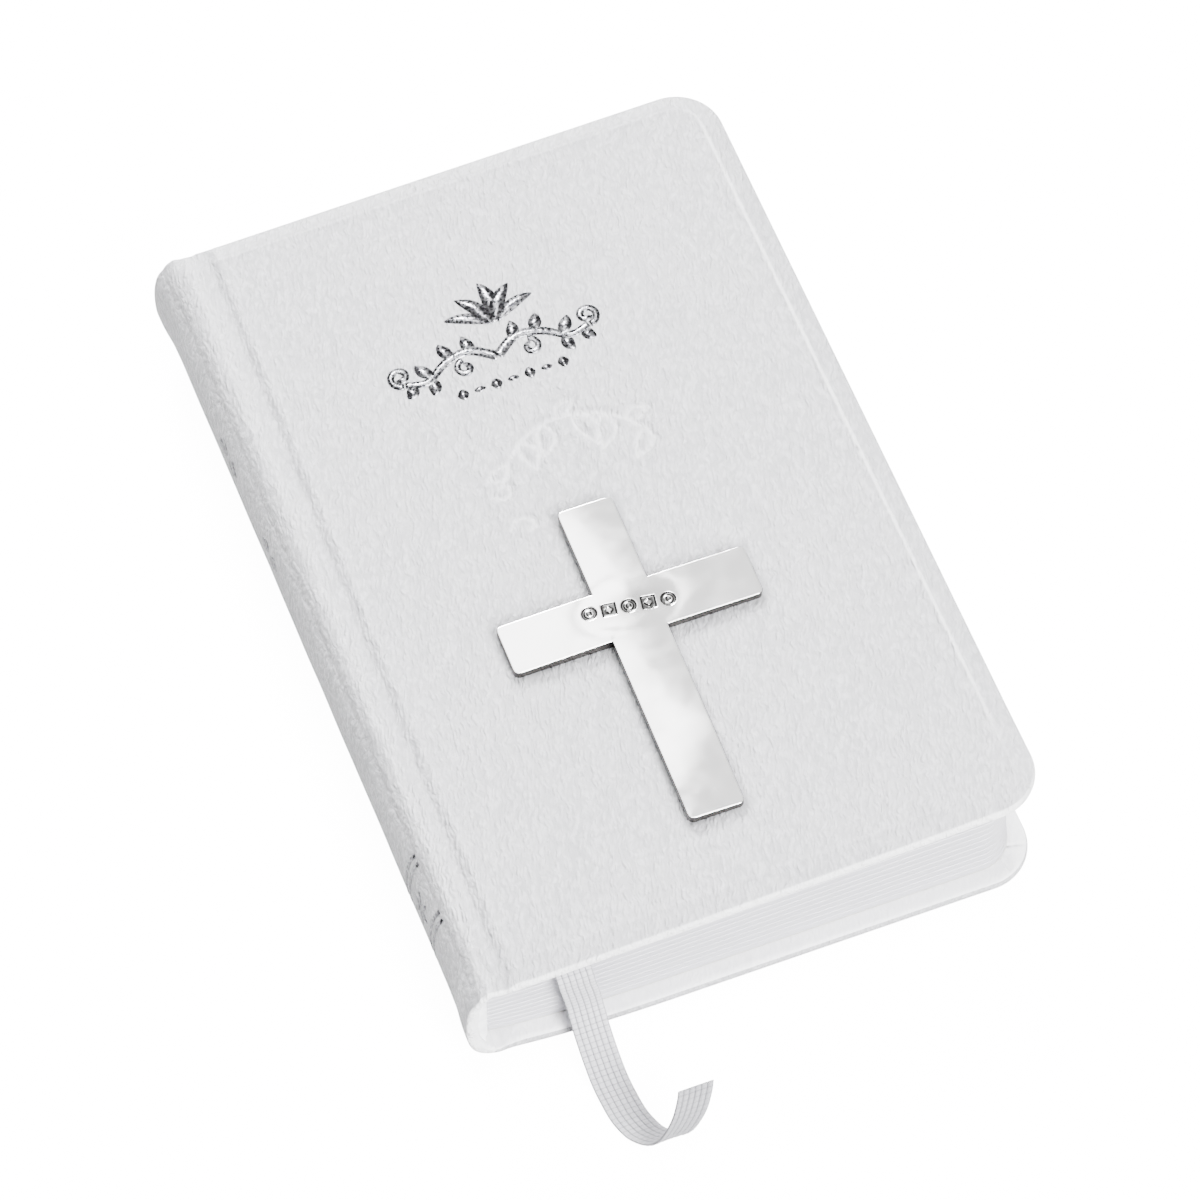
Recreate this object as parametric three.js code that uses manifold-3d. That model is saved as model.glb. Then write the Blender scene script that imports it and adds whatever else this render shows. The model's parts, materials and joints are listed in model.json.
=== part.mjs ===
// Pocket Bible: a sewn text block in a soft white leather case, with a polished cross on its front
// cover and a woven ribbon marker. Millimetres, +Z up. The book lies on its back cover with its spine
// at -X, its fore-edge at +X and its head at +Y. The origin is the centre of its footprint, on the
// surface that it lies on.
import * as THREE from 'three';
import { mergeVertices } from 'three/addons/utils/BufferGeometryUtils.js';
import Module from 'manifold-3d';

const wasm = await Module();
wasm.setup();

// Case
const COVER_H = 115;             // head to tail
const COVER_W = 75.6;            // outermost spine to fore-edge
const THICK = 20.3;              // outside of one cover to outside of the other, at the fore-edge
const CASE_T = 2.1;              // one whole cover: leather, board, turned-in leather and paper
const SQUARE = 2.3;              // how far the covers stand out past the pages
const COVER_CORNER = 6.5;        // radius of the covers' fore-edge corners
const LEATHER_T = 0.7;
const TURN_IN_T = 0.45;          // pared leather turned over onto the inside of the board
const TURN_IN_SHOWN = 3.4;       // width of the turned-in leather that the pastedown leaves bare
const EDGE_T = 0.5;              // leather around the board's edges
const BOARD_T = 0.85;
const PASTEDOWN_T = 0.35;
const FIT = 0.05;                // play between layers that are glued or pressed together

// The closed book is a wedge: the front cover slopes down to the spine, where the pages are pressed
// tight, and the soft back cover curls up off the table over its last part before the spine.
const FRONT_SLOPE = 0.0296;
const CURL_RISE = 2.9;
const CURL_FROM = -10;
const CURL_RUN = 27;
const CURL_POWER = 2.5;
const CURL_STATIONS = [-33, -29, -25, -20, -15, -10];

// Spine and joints
const SPINE_DEPTH = 4.6;         // how far the rounded spine stands out of its two shoulders
const SPINE_ROUND = 2.4;         // exponent of its superellipse: 2 is a plain ellipse, more is squarer
const BOARD_X = -32;             // where the stiff part of a cover begins
const SHOULDER_X = -35.2;        // where the spine's leather passes into the joints' soft strips
const LINING_X = -35;            // where the linings glued to the spine end, at both shoulders
const JOINT_DIP = 0.5;           // depth of the groove pressed along each joint
const CAP_IN = 2.4;              // width of the leather cap at the head and tail of the spine
const INLAY_T = 0.3;
const LINING_T = 0.2;
const MULL_T = 0.15;
const THREAD_T = 0.2;

// Text block
const SECTIONS = 12;
const SECTION_T = 1.2;
const SECTION_PITCH = SECTION_T + FIT;
const FORE_HOLLOW = 0.5;         // how far the pages' fore-edge curves in at the middle
const PAGE_CORNER = 5;           // radius of the pages' fore-edge corners
const LEAF_T = 0.15;
const TURNING_SECTIONS = 2;      // sections that turn over with the front cover
const SEWING_STATIONS = [-48, -28, -9, 9, 28, 48];
const STITCH_W = 0.8;

// Cross
const CROSS_W = 32.8;
const CROSS_H = 46.9;
const CROSS_BAR = 7.3;
const CROSS_T = 1;
const CROSS_BEVEL = 0.25;
const CROSS_TOP = 1.9;           // where the cross's upper end lies, from the middle of the cover
const CROSS_ARM = -14.5;         // where the middle of its arms lies
const CROSS_X = -0.5;
const CROSS_TURN = THREE.MathUtils.degToRad(-0.8);
const GLUE_T = 0.1;

// Ribbon marker
const RIBBON_W = 4.6;
const RIBBON_T = 0.25;
const RIBBON_TAIL_T = 0.5;

const SPINE_X = -COVER_W / 2;
const FORE_X = COVER_W / 2;
const PAGE_H = COVER_H - 2 * SQUARE;
const ROUND_X = SPINE_X + SPINE_DEPTH;          // centre of the spine's rounding

const MATERIALS = {
  leather: { color: 0xecebef, roughness: 0.55, metalness: 0 },
  board: { color: 0x9a8f80, roughness: 0.9, metalness: 0 },
  endpaper: { color: 0xf6f5f2, roughness: 0.8, metalness: 0 },
  pages: { color: 0xf1efe9, roughness: 0.85, metalness: 0 },
  silver: { color: 0xd9d9dc, roughness: 0.12, metalness: 1 },
  glue: { color: 0xe6e2d4, roughness: 0.4, metalness: 0 },
  thread: { color: 0xf2efe6, roughness: 0.8, metalness: 0 },
  mull: { color: 0xeae4d3, roughness: 0.9, metalness: 0 },
  kraft: { color: 0xb08a5c, roughness: 0.9, metalness: 0 },
  card: { color: 0xcfc8bb, roughness: 0.9, metalness: 0 },
  ribbon: { color: 0xeeeef2, roughness: 0.6, metalness: 0 },
};

const book = new THREE.Group();

function add(name, material, geometry) {
  const mesh = new THREE.Mesh(geometry, new THREE.MeshStandardMaterial(MATERIALS[material]));
  mesh.name = name;
  book.add(mesh);
}

// A closed geometry as a solid for joins and cuts, and the way back.
function solid(geometry) {
  const bare = geometry.clone();
  bare.deleteAttribute('normal');
  bare.deleteAttribute('uv');
  const merged = mergeVertices(bare, 1e-4);
  return new wasm.Manifold(new wasm.Mesh({
    numProp: 3,
    vertProperties: new Float32Array(merged.attributes.position.array),
    triVerts: new Uint32Array(merged.index.array),
  }));
}

function geometryOf(body) {
  const mesh = body.getMesh();
  const geometry = new THREE.BufferGeometry();
  geometry.setAttribute('position', new THREE.BufferAttribute(mesh.vertProperties, 3));
  geometry.setIndex(new THREE.BufferAttribute(mesh.triVerts, 1));
  geometry.computeVertexNormals();
  return geometry;
}

// A plan outline with square corners at the spine side and round ones at the fore-edge.
function plan(left, right, halfHeight, corner) {
  const outline = new THREE.Shape();
  outline.moveTo(left, -halfHeight);
  outline.lineTo(right - corner, -halfHeight);
  outline.absarc(right - corner, corner - halfHeight, corner, -Math.PI / 2, 0);
  outline.lineTo(right, halfHeight - corner);
  outline.absarc(right - corner, halfHeight - corner, corner, 0, Math.PI / 2);
  outline.lineTo(left, halfHeight);
  return outline;
}

function slab(outline, low, high) {
  const options = { depth: high - low, bevelEnabled: false, curveSegments: 6 };
  return new THREE.ExtrudeGeometry(outline, options).translate(0, 0, low);
}

// How far the front cover has come down, and the back cover has risen, at a place across the book.
function drop(x) {
  return FRONT_SLOPE * (FORE_X - x);
}

function rise(x) {
  return CURL_RISE * (Math.max(CURL_FROM - x, 0) / CURL_RUN) ** CURL_POWER;
}

// A level of the book as if both covers were flat, moved to where it lies in the wedge.
function settled([x, z]) {
  const share = THREE.MathUtils.clamp((z - CASE_T) / (THICK - 2 * CASE_T), 0, 1);
  return [x, z + (1 - share) * rise(x) - share * drop(x)];
}

function settleAll(geometry) {
  const position = geometry.attributes.position;
  for (let i = 0; i < position.count; i += 1) {
    position.setZ(i, settled([position.getX(i), position.getZ(i)])[1]);
  }
  geometry.computeVertexNormals();
  return geometry;
}

// A profile of (x, z) points carried along Y from one place to another.
function along(points, low, high) {
  const outline = new THREE.Shape(points.map(([x, z]) => new THREE.Vector2(x, z)));
  const options = { depth: high - low, bevelEnabled: false };
  return new THREE.ExtrudeGeometry(outline, options).rotateX(Math.PI / 2).translate(0, high, 0);
}

// A layer of the book between two levels, following the wedge, with any outline for its spine side.
function layer(left, right, low, high, back = [[left, high], [left, low]]) {
  const start = Math.max(...back.map(([x]) => x)) + FIT;
  const stations = CURL_STATIONS.filter((x) => x > start && x < right);
  const points = [
    ...back, ...stations.map((x) => [x, low]), [right, low],
    [right, high], ...stations.toReversed().map((x) => [x, high]),
  ];
  return along(points.map(settled), -COVER_H / 2 - 1, COVER_H / 2 + 1);
}

// A layer cut to a plan outline.
function sheet(outline, right, low, high) {
  const bounds = solid(slab(outline.shape, -5, THICK + 5));
  return geometryOf(solid(layer(outline.left, right, low, high)).intersect(bounds));
}

// ---- The spine's rounding: nested superellipses between the two shoulders ----

const ROUND_TOP = settled([ROUND_X, THICK])[1];
const ROUND_LOW = settled([ROUND_X, 0])[1];
const ROUND_Z = (ROUND_TOP + ROUND_LOW) / 2;
const ROUND_HALF = (ROUND_TOP - ROUND_LOW) / 2;

// Points of the rounding at a depth inside it, from its lower end to its upper end at a given place.
function rounding(depth, endX, steps) {
  const power = 2 / SPINE_ROUND;
  const limit = Math.acos(((ROUND_X - endX) / (SPINE_DEPTH - depth)) ** (1 / power));
  return Array.from({ length: steps + 1 }, (_, i) => {
    const angle = -limit + (2 * limit * i) / steps;
    const height = Math.sign(angle) * Math.abs(Math.sin(angle)) ** power;
    return [
      ROUND_X - (SPINE_DEPTH - depth) * Math.cos(angle) ** power,
      ROUND_Z + (ROUND_HALF - depth) * height,
    ];
  });
}

function spineLayer(outside, thickness, endX, low, high, steps = 16) {
  const points = [
    ...rounding(outside, endX, steps),
    ...rounding(outside + thickness, endX, steps).reverse(),
  ];
  return along(points, low, high);
}

// ---- Covers: leather wrapped around a thin board, with a pastedown inside ----

// A plan outline with its left end square, inset all round from the cover's edge.
function coverPlan(left, inset) {
  const shape = plan(left, FORE_X - inset, COVER_H / 2 - inset, COVER_CORNER - inset);
  return { left, shape };
}

// The levels of one cover's layers, from its outer face inwards, for the front (1) or back (-1) cover.
function levels(side, outer, inner) {
  return side > 0 ? [THICK - inner, THICK - outer] : [outer, inner];
}

function coverLeather(side) {
  const past = BOARD_X - 1;
  const turnIn = levels(side, LEATHER_T, CASE_T - TURN_IN_T);
  const whole = solid(sheet(coverPlan(BOARD_X, 0), FORE_X, ...levels(side, 0, CASE_T)));
  const pocket = solid(sheet(coverPlan(past, EDGE_T), FORE_X, ...turnIn));
  const opening = coverPlan(past, TURN_IN_SHOWN);
  const window = solid(sheet(opening, FORE_X, ...levels(side, LEATHER_T, CASE_T + 1)));
  return geometryOf(whole.subtract(pocket).subtract(window));
}

function coverBoard(side) {
  const outer = LEATHER_T + FIT;
  const outline = coverPlan(BOARD_X, EDGE_T + FIT);
  return sheet(outline, FORE_X, ...levels(side, outer, outer + BOARD_T));
}

function pastedown(side) {
  const inner = CASE_T - FIT;
  const outline = coverPlan(BOARD_X, TURN_IN_SHOWN + FIT);
  return sheet(outline, FORE_X, ...levels(side, inner - PASTEDOWN_T, inner));
}

// The case's outer surface over the joint: the spine's rounding, then the flat of the cover.
function shoulderZ(x, side) {
  if (x > ROUND_X) {
    return settled([x, side > 0 ? THICK : 0])[1];
  }
  const bend = (ROUND_X - x) / SPINE_DEPTH;
  return ROUND_Z + side * ROUND_HALF * (1 - bend ** SPINE_ROUND) ** (1 / SPINE_ROUND);
}

// The soft strip between spine and board, pressed into a shallow groove.
function jointLeather(side) {
  const left = SHOULDER_X + FIT;
  const right = BOARD_X - FIT;
  const steps = 8;
  const outer = Array.from({ length: steps + 1 }, (_, i) => {
    const x = left + ((right - left) * i) / steps;
    const dip = FIT + JOINT_DIP * Math.sin((Math.PI * i) / steps) ** 2;
    return [x, shoulderZ(x, side) - side * dip];
  });
  const inner = outer.map(([x, z]) => [x, z - side * (LEATHER_T - FIT)]);
  const points = [...outer, ...inner.reverse()];
  return along(side > 0 ? points.reverse() : points, -COVER_H / 2, COVER_H / 2);
}

for (const [name, side] of [['front', 1], ['back', -1]]) {
  add(`${name}_leather`, 'leather', coverLeather(side));
  add(`${name}_board`, 'board', coverBoard(side));
  add(`${name}_pastedown`, 'endpaper', pastedown(side));
  add(`${name}_joint_leather`, 'leather', jointLeather(side));
}

// ---- Spine: leather over a card inlay, a paper lining, mull and the sewing ----

function spineLeather() {
  const end = COVER_H / 2;
  const capLength = SQUARE - 0.2;
  let body = solid(spineLayer(0, LEATHER_T, SHOULDER_X, -end, end));
  for (const low of [-end, end - capLength]) {
    body = body.add(solid(along(rounding(0.1, SPINE_X + CAP_IN, 16), low, low + capLength)));
  }
  return geometryOf(body);
}

const INLAY_DEPTH = LEATHER_T + FIT;
const LINING_DEPTH = INLAY_DEPTH + INLAY_T + FIT;
const MULL_DEPTH = LINING_DEPTH + LINING_T + FIT;
const THREAD_DEPTH = MULL_DEPTH + MULL_T + FIT;
const FOLD_DEPTH = THREAD_DEPTH + THREAD_T + FIT;
const LINING_END = PAGE_H / 2 - 1.2;

add('spine_leather', 'leather', spineLeather());
add('spine_inlay', 'card', spineLayer(INLAY_DEPTH, INLAY_T, LINING_X, -PAGE_H / 2, PAGE_H / 2));
add('kraft_lining', 'kraft', spineLayer(LINING_DEPTH, LINING_T, LINING_X, -LINING_END, LINING_END));
add('mull', 'mull', spineLayer(MULL_DEPTH, MULL_T, LINING_X, -LINING_END, LINING_END));
SEWING_STATIONS.forEach((y, i) => {
  const [low, high] = [y - STITCH_W / 2, y + STITCH_W / 2];
  const stitch = spineLayer(THREAD_DEPTH, THREAD_T, LINING_X - 0.4, low, high, 10);
  add(`sewing_thread_${i + 1}`, 'thread', stitch);
});

// ---- Text block: folded sections on the curve of the spine, between two flyleaves ----

// Where a fold at a level of the flat book meets the rounding inside the spine.
function foldX(level) {
  const z = settled([LINING_X, level])[1];
  const height = Math.abs(z - ROUND_Z) / (ROUND_HALF - FOLD_DEPTH);
  return ROUND_X - (SPINE_DEPTH - FOLD_DEPTH) * (1 - height ** SPINE_ROUND) ** (1 / SPINE_ROUND);
}

// Where the pages are trimmed at the fore-edge, slightly hollow because the spine is round.
function trimX(level) {
  const share = (2 * level - THICK) / (THICK - 2 * CASE_T);
  return FORE_X - SQUARE - FORE_HOLLOW * (1 - share ** 2);
}

// A folded section: its back is rounded by the fold, and its free corners by the trimming knife.
function section(low) {
  const middle = low + SECTION_T / 2;
  const nose = SECTION_T / 2;
  const left = Math.max(foldX(low + 0.2 * SECTION_T), foldX(low + 0.8 * SECTION_T));
  const fold = Array.from({ length: 5 }, (_, i) => {
    const angle = Math.PI / 2 + (Math.PI * i) / 4;
    return [left + nose + nose * Math.cos(angle), middle + nose * Math.sin(angle)];
  });
  const trim = plan(left - 1, trimX(middle), PAGE_H / 2, PAGE_CORNER);
  const folded = solid(layer(left, FORE_X, low, low + SECTION_T, fold));
  return geometryOf(folded.intersect(solid(slab(trim, -5, THICK + 5))));
}

function flyleaf(low) {
  const left = Math.max(foldX(low), foldX(low + LEAF_T)) + FIT;
  const shape = plan(left, trimX(low), PAGE_H / 2, PAGE_CORNER);
  return sheet({ left, shape }, FORE_X, low, low + LEAF_T);
}

const BACK_LEAF_LOW = CASE_T + FIT;
const FIRST_LOW = BACK_LEAF_LOW + LEAF_T + FIT;  // underside of the section next to the back cover
const RIBBON_SLOT = RIBBON_T + FIT;             // room for the ribbon under the sections that turn
const RIBBON_LOW = FIRST_LOW + (SECTIONS - TURNING_SECTIONS) * SECTION_PITCH;

for (let i = 0; i < SECTIONS; i += 1) {
  const fromBack = SECTIONS - 1 - i;
  const lift = i < TURNING_SECTIONS ? RIBBON_SLOT : 0;
  const name = `section_${String(i + 1).padStart(2, '0')}`;
  add(name, 'pages', section(FIRST_LOW + fromBack * SECTION_PITCH + lift));
}
add('front_flyleaf', 'endpaper', flyleaf(FIRST_LOW + SECTIONS * SECTION_PITCH + RIBBON_SLOT));
add('back_flyleaf', 'endpaper', flyleaf(BACK_LEAF_LOW));

// ---- Cross: polished plate with softened edges, on a thin film of glue ----

function crossOutline(inset) {
  const bar = CROSS_BAR / 2 - inset;
  const arm = CROSS_W / 2 - inset;
  const top = CROSS_TOP - CROSS_ARM - inset;
  const bottom = top - CROSS_H + 2 * inset;
  const middle = new THREE.Vector2();
  const points = [
    [-bar, bottom], [bar, bottom], [bar, -bar], [arm, -bar], [arm, bar], [bar, bar],
    [bar, top], [-bar, top], [-bar, bar], [-arm, bar], [-arm, -bar], [-bar, -bar],
  ].map(([x, y]) => new THREE.Vector2(x, y).rotateAround(middle, CROSS_TURN));
  return new THREE.Shape(points.map(({ x, y }) => new THREE.Vector2(CROSS_X + x, CROSS_ARM + y)));
}

const GLUE_LOW = THICK + 0.02;
const cross = new THREE.ExtrudeGeometry(crossOutline(CROSS_BEVEL), {
  depth: CROSS_T - 2 * CROSS_BEVEL,
  bevelThickness: CROSS_BEVEL,
  bevelSize: CROSS_BEVEL,
  bevelSegments: 2,
});
cross.translate(0, 0, GLUE_LOW + GLUE_T + 0.02 + CROSS_BEVEL);
add('cross', 'silver', settleAll(cross));
add('cross_glue', 'glue', settleAll(slab(crossOutline(0.6), GLUE_LOW, GLUE_LOW + GLUE_T)));

// ---- Ribbon marker: flat between the pages, then hanging out over the tail and curling up ----

// The free end's middle line. It leaves the pages, drops past the back cover's edge, lies on the
// surface and curls up at its tip, drifting towards the fore-edge all the way.
const RIBBON_ROUTE = [
  [-24, -55.6, 13.6], [-23.98, -56.3, 13.35], [-23.9, -56.8, 12.6], [-23.72, -56.95, 11.2],
  [-23.4, -56.95, 9.4], [-23.1, -56.95, 7.6], [-22.9, -57.15, 6], [-22.88, -58.1, 4.8],
  [-22.9, -59.9, 3.5], [-22.88, -62.3, 2.1], [-22.81, -65, 0.95], [-22.6, -67.6, 0.45],
  [-22.3, -70.1, 0.35], [-21.75, -72, 0.38], [-21.1, -73.4, 0.55], [-19.9, -75, 1.3],
  [-18.7, -75.8, 2.6], [-17.6, -75.95, 4.7], [-16.5, -75.5, 6.7], [-15.5, -74.4, 8.3],
  [-15, -73.55, 9],
].map((point) => new THREE.Vector3(...point));

const markerX = RIBBON_ROUTE[0].x;
const [markerLeft, markerRight] = [markerX - RIBBON_W / 2, markerX + RIBBON_W / 2];
add('ribbon_marker', 'ribbon', sheet({
  left: markerLeft,
  shape: plan(markerLeft, markerRight, PAGE_H / 2, 0),
}, markerRight, RIBBON_LOW, RIBBON_LOW + RIBBON_T));

// A flat strip whose width stays level along X while its middle line follows the route.
function ribbonTail(route) {
  const steps = 48;
  const middle = new THREE.CatmullRomCurve3(route).getPoints(steps);
  const vertices = [];
  middle.forEach((point, i) => {
    const before = middle[Math.max(i - 1, 0)];
    const after = middle[Math.min(i + 1, steps)];
    const up = new THREE.Vector2(before.z - after.z, after.y - before.y);
    up.setLength(-RIBBON_TAIL_T / 2);
    for (const [side, face] of [[-1, -1], [-1, 1], [1, 1], [1, -1]]) {
      vertices.push(point.x + (side * RIBBON_W) / 2, point.y + face * up.x, point.z + face * up.y);
    }
  });
  const faces = [0, 1, 2, 0, 2, 3];
  for (let i = 0; i < steps; i += 1) {
    for (let k = 0; k < 4; k += 1) {
      const [a, b] = [4 * i + k, 4 * i + ((k + 1) % 4)];
      faces.push(a, a + 4, b, b, a + 4, b + 4);
    }
  }
  const last = 4 * steps;
  faces.push(last, last + 2, last + 1, last, last + 3, last + 2);
  const strip = new THREE.BufferGeometry();
  strip.setAttribute('position', new THREE.Float32BufferAttribute(vertices, 3));
  strip.setIndex(faces);
  strip.computeVertexNormals();
  return strip;
}

add('ribbon_tail', 'ribbon', ribbonTail(RIBBON_ROUTE));

export default book;
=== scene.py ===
"""Pocket Bible: soft white leather case, silvered pages, polished cross and woven ribbon marker."""

import json
import math

import bmesh
import bpy
import numpy as np
from mathutils import Matrix
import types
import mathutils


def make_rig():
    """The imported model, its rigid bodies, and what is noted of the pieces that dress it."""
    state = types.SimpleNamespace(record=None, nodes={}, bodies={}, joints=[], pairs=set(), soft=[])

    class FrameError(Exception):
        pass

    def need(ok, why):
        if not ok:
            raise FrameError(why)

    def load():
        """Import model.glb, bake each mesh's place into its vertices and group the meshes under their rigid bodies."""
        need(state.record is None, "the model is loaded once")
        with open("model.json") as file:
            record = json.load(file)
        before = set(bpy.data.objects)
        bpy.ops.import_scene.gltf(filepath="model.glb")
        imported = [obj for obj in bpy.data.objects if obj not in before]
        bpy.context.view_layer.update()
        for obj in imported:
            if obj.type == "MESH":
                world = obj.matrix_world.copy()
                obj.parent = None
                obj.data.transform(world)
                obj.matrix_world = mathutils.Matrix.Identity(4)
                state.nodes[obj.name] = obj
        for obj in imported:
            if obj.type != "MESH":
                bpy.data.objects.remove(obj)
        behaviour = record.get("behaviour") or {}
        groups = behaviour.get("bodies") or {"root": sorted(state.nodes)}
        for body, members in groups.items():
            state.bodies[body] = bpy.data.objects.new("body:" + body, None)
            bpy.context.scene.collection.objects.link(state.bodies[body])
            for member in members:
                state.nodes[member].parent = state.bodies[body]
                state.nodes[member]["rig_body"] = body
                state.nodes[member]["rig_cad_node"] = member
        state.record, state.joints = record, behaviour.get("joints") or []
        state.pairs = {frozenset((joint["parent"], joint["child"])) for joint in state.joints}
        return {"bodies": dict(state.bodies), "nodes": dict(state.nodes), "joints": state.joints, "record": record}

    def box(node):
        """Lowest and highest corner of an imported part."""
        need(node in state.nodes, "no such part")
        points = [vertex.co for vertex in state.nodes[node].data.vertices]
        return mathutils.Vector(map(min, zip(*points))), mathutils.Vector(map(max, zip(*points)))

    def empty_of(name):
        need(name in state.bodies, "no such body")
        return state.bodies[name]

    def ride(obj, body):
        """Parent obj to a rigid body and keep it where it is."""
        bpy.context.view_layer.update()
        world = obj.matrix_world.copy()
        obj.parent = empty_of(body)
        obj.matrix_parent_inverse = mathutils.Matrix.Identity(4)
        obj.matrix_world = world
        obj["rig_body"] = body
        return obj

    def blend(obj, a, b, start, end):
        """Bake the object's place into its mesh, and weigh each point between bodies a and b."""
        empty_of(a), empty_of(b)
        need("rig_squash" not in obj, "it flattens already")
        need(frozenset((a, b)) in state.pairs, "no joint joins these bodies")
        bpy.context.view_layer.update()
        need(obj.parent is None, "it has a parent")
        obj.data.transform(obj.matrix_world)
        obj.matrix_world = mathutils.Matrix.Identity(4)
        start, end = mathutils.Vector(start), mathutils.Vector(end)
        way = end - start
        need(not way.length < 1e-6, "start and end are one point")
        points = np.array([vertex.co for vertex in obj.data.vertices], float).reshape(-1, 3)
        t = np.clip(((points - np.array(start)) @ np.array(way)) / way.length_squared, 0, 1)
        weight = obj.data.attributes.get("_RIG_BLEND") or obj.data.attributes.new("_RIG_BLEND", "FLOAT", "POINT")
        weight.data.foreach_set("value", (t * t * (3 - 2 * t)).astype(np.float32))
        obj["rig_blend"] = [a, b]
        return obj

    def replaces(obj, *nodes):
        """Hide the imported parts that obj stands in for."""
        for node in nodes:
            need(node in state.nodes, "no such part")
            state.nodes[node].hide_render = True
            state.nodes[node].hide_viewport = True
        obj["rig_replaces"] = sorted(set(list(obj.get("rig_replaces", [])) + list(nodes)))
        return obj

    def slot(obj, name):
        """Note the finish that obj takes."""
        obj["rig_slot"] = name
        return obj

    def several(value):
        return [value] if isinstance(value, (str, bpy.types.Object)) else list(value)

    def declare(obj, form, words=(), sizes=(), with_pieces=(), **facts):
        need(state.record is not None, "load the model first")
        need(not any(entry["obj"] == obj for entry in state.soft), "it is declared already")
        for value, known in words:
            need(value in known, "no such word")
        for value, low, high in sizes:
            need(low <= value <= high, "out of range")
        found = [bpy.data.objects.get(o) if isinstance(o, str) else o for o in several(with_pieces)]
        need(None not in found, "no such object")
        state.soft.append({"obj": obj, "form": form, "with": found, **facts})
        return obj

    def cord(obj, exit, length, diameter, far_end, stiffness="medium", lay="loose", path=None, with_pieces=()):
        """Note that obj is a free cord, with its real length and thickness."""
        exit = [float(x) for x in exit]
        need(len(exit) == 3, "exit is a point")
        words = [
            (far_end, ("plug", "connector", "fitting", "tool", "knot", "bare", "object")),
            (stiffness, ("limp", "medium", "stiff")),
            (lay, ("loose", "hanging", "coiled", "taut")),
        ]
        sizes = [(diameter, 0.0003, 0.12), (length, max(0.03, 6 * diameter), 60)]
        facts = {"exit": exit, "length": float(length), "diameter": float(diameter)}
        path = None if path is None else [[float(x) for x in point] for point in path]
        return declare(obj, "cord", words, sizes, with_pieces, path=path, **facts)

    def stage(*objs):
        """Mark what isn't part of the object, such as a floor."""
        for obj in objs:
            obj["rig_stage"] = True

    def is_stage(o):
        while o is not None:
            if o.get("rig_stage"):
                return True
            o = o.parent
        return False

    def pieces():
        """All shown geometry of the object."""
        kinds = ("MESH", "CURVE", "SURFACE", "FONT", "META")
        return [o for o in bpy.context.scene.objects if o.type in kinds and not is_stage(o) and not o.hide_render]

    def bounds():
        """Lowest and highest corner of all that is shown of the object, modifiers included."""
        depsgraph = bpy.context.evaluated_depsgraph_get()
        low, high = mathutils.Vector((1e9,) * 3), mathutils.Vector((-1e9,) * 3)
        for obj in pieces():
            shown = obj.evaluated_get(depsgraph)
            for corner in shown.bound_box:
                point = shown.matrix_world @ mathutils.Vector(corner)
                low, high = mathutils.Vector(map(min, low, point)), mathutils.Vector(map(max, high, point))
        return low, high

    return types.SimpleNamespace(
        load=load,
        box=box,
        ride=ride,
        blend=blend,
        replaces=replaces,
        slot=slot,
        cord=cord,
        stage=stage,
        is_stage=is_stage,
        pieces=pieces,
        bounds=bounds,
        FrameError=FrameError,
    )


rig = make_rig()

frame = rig.load()
cad_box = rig.bounds()

MM = 0.001

# ---- Sizes of the part, in millimetres, as the CAD model has them ----

COVER_H = 115.0
COVER_W = 75.6
THICK = 20.3
CASE_T = 2.1
SQUARE = 2.3
COVER_CORNER = 6.5
TURN_IN_SHOWN = 3.4
FIT = 0.05
FRONT_SLOPE = 0.0296
CURL_RISE = 2.9
CURL_FROM = -10.0
CURL_RUN = 27.0
CURL_POWER = 2.5
SPINE_DEPTH = 4.6
SPINE_ROUND = 2.4
BOARD_X = -32.0
SHOULDER_X = -35.2
FOLD_DEPTH = 1.8
SECTIONS = 12
SECTION_T = 1.2
SECTION_PITCH = SECTION_T + FIT
FORE_HOLLOW = 0.5
PAGE_CORNER = 5.0
LEAF_T = 0.15
TURNING_SECTIONS = 2
RIBBON_T = 0.25
RIBBON_W = 4.6
CROSS_W = 32.8
CROSS_H = 46.9
CROSS_BAR = 7.3
CROSS_TOP = 1.9
CROSS_ARM = -14.5
CROSS_X = -0.5
CROSS_TURN = math.radians(-0.8)
CROSS_ROUND = 0.8
CROSS_T = 1.42

SPINE_X = -COVER_W / 2
FORE_X = COVER_W / 2
HALF_H = COVER_H / 2
PAGE_HALF = HALF_H - SQUARE
ROUND_X = SPINE_X + SPINE_DEPTH
LOW_X = FORE_X - COVER_CORNER
LOW_Y = HALF_H - COVER_CORNER

RIBBON_ROUTE = [
    (-24, -55.6, 13.6), (-23.98, -56.3, 13.35), (-23.9, -56.8, 12.6), (-23.72, -56.95, 11.2),
    (-23.4, -56.95, 9.4), (-23.1, -56.95, 7.6), (-22.9, -57.15, 6), (-22.88, -58.1, 4.8),
    (-22.9, -59.9, 3.5), (-22.88, -62.3, 2.1), (-22.81, -65, 0.95), (-22.6, -67.6, 0.45),
    (-22.3, -70.1, 0.35), (-21.75, -72, 0.38), (-21.1, -73.4, 0.55), (-19.9, -75, 1.3),
    (-18.7, -75.8, 2.6), (-17.6, -75.95, 4.7), (-16.5, -75.5, 6.7), (-15.5, -74.4, 8.3),
    (-15, -73.55, 9),
]
RIBBON_LENGTH = 0.0388
RIBS = 6
WEFT_PITCH = 0.72


def put(name, data):
    """A new object in the scene."""
    obj = bpy.data.objects.new(name, data)
    bpy.context.scene.collection.objects.link(obj)
    return obj


def aimed(side, top, back, place):
    """A camera's or lamp's matrix from its axes. back points away from what it faces."""
    return Matrix([*np.stack([side, top, back, place], 1).tolist(), [0, 0, 0, 1]])


# ---- Camera: a long lens, at the photograph's viewing angle ----

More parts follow.
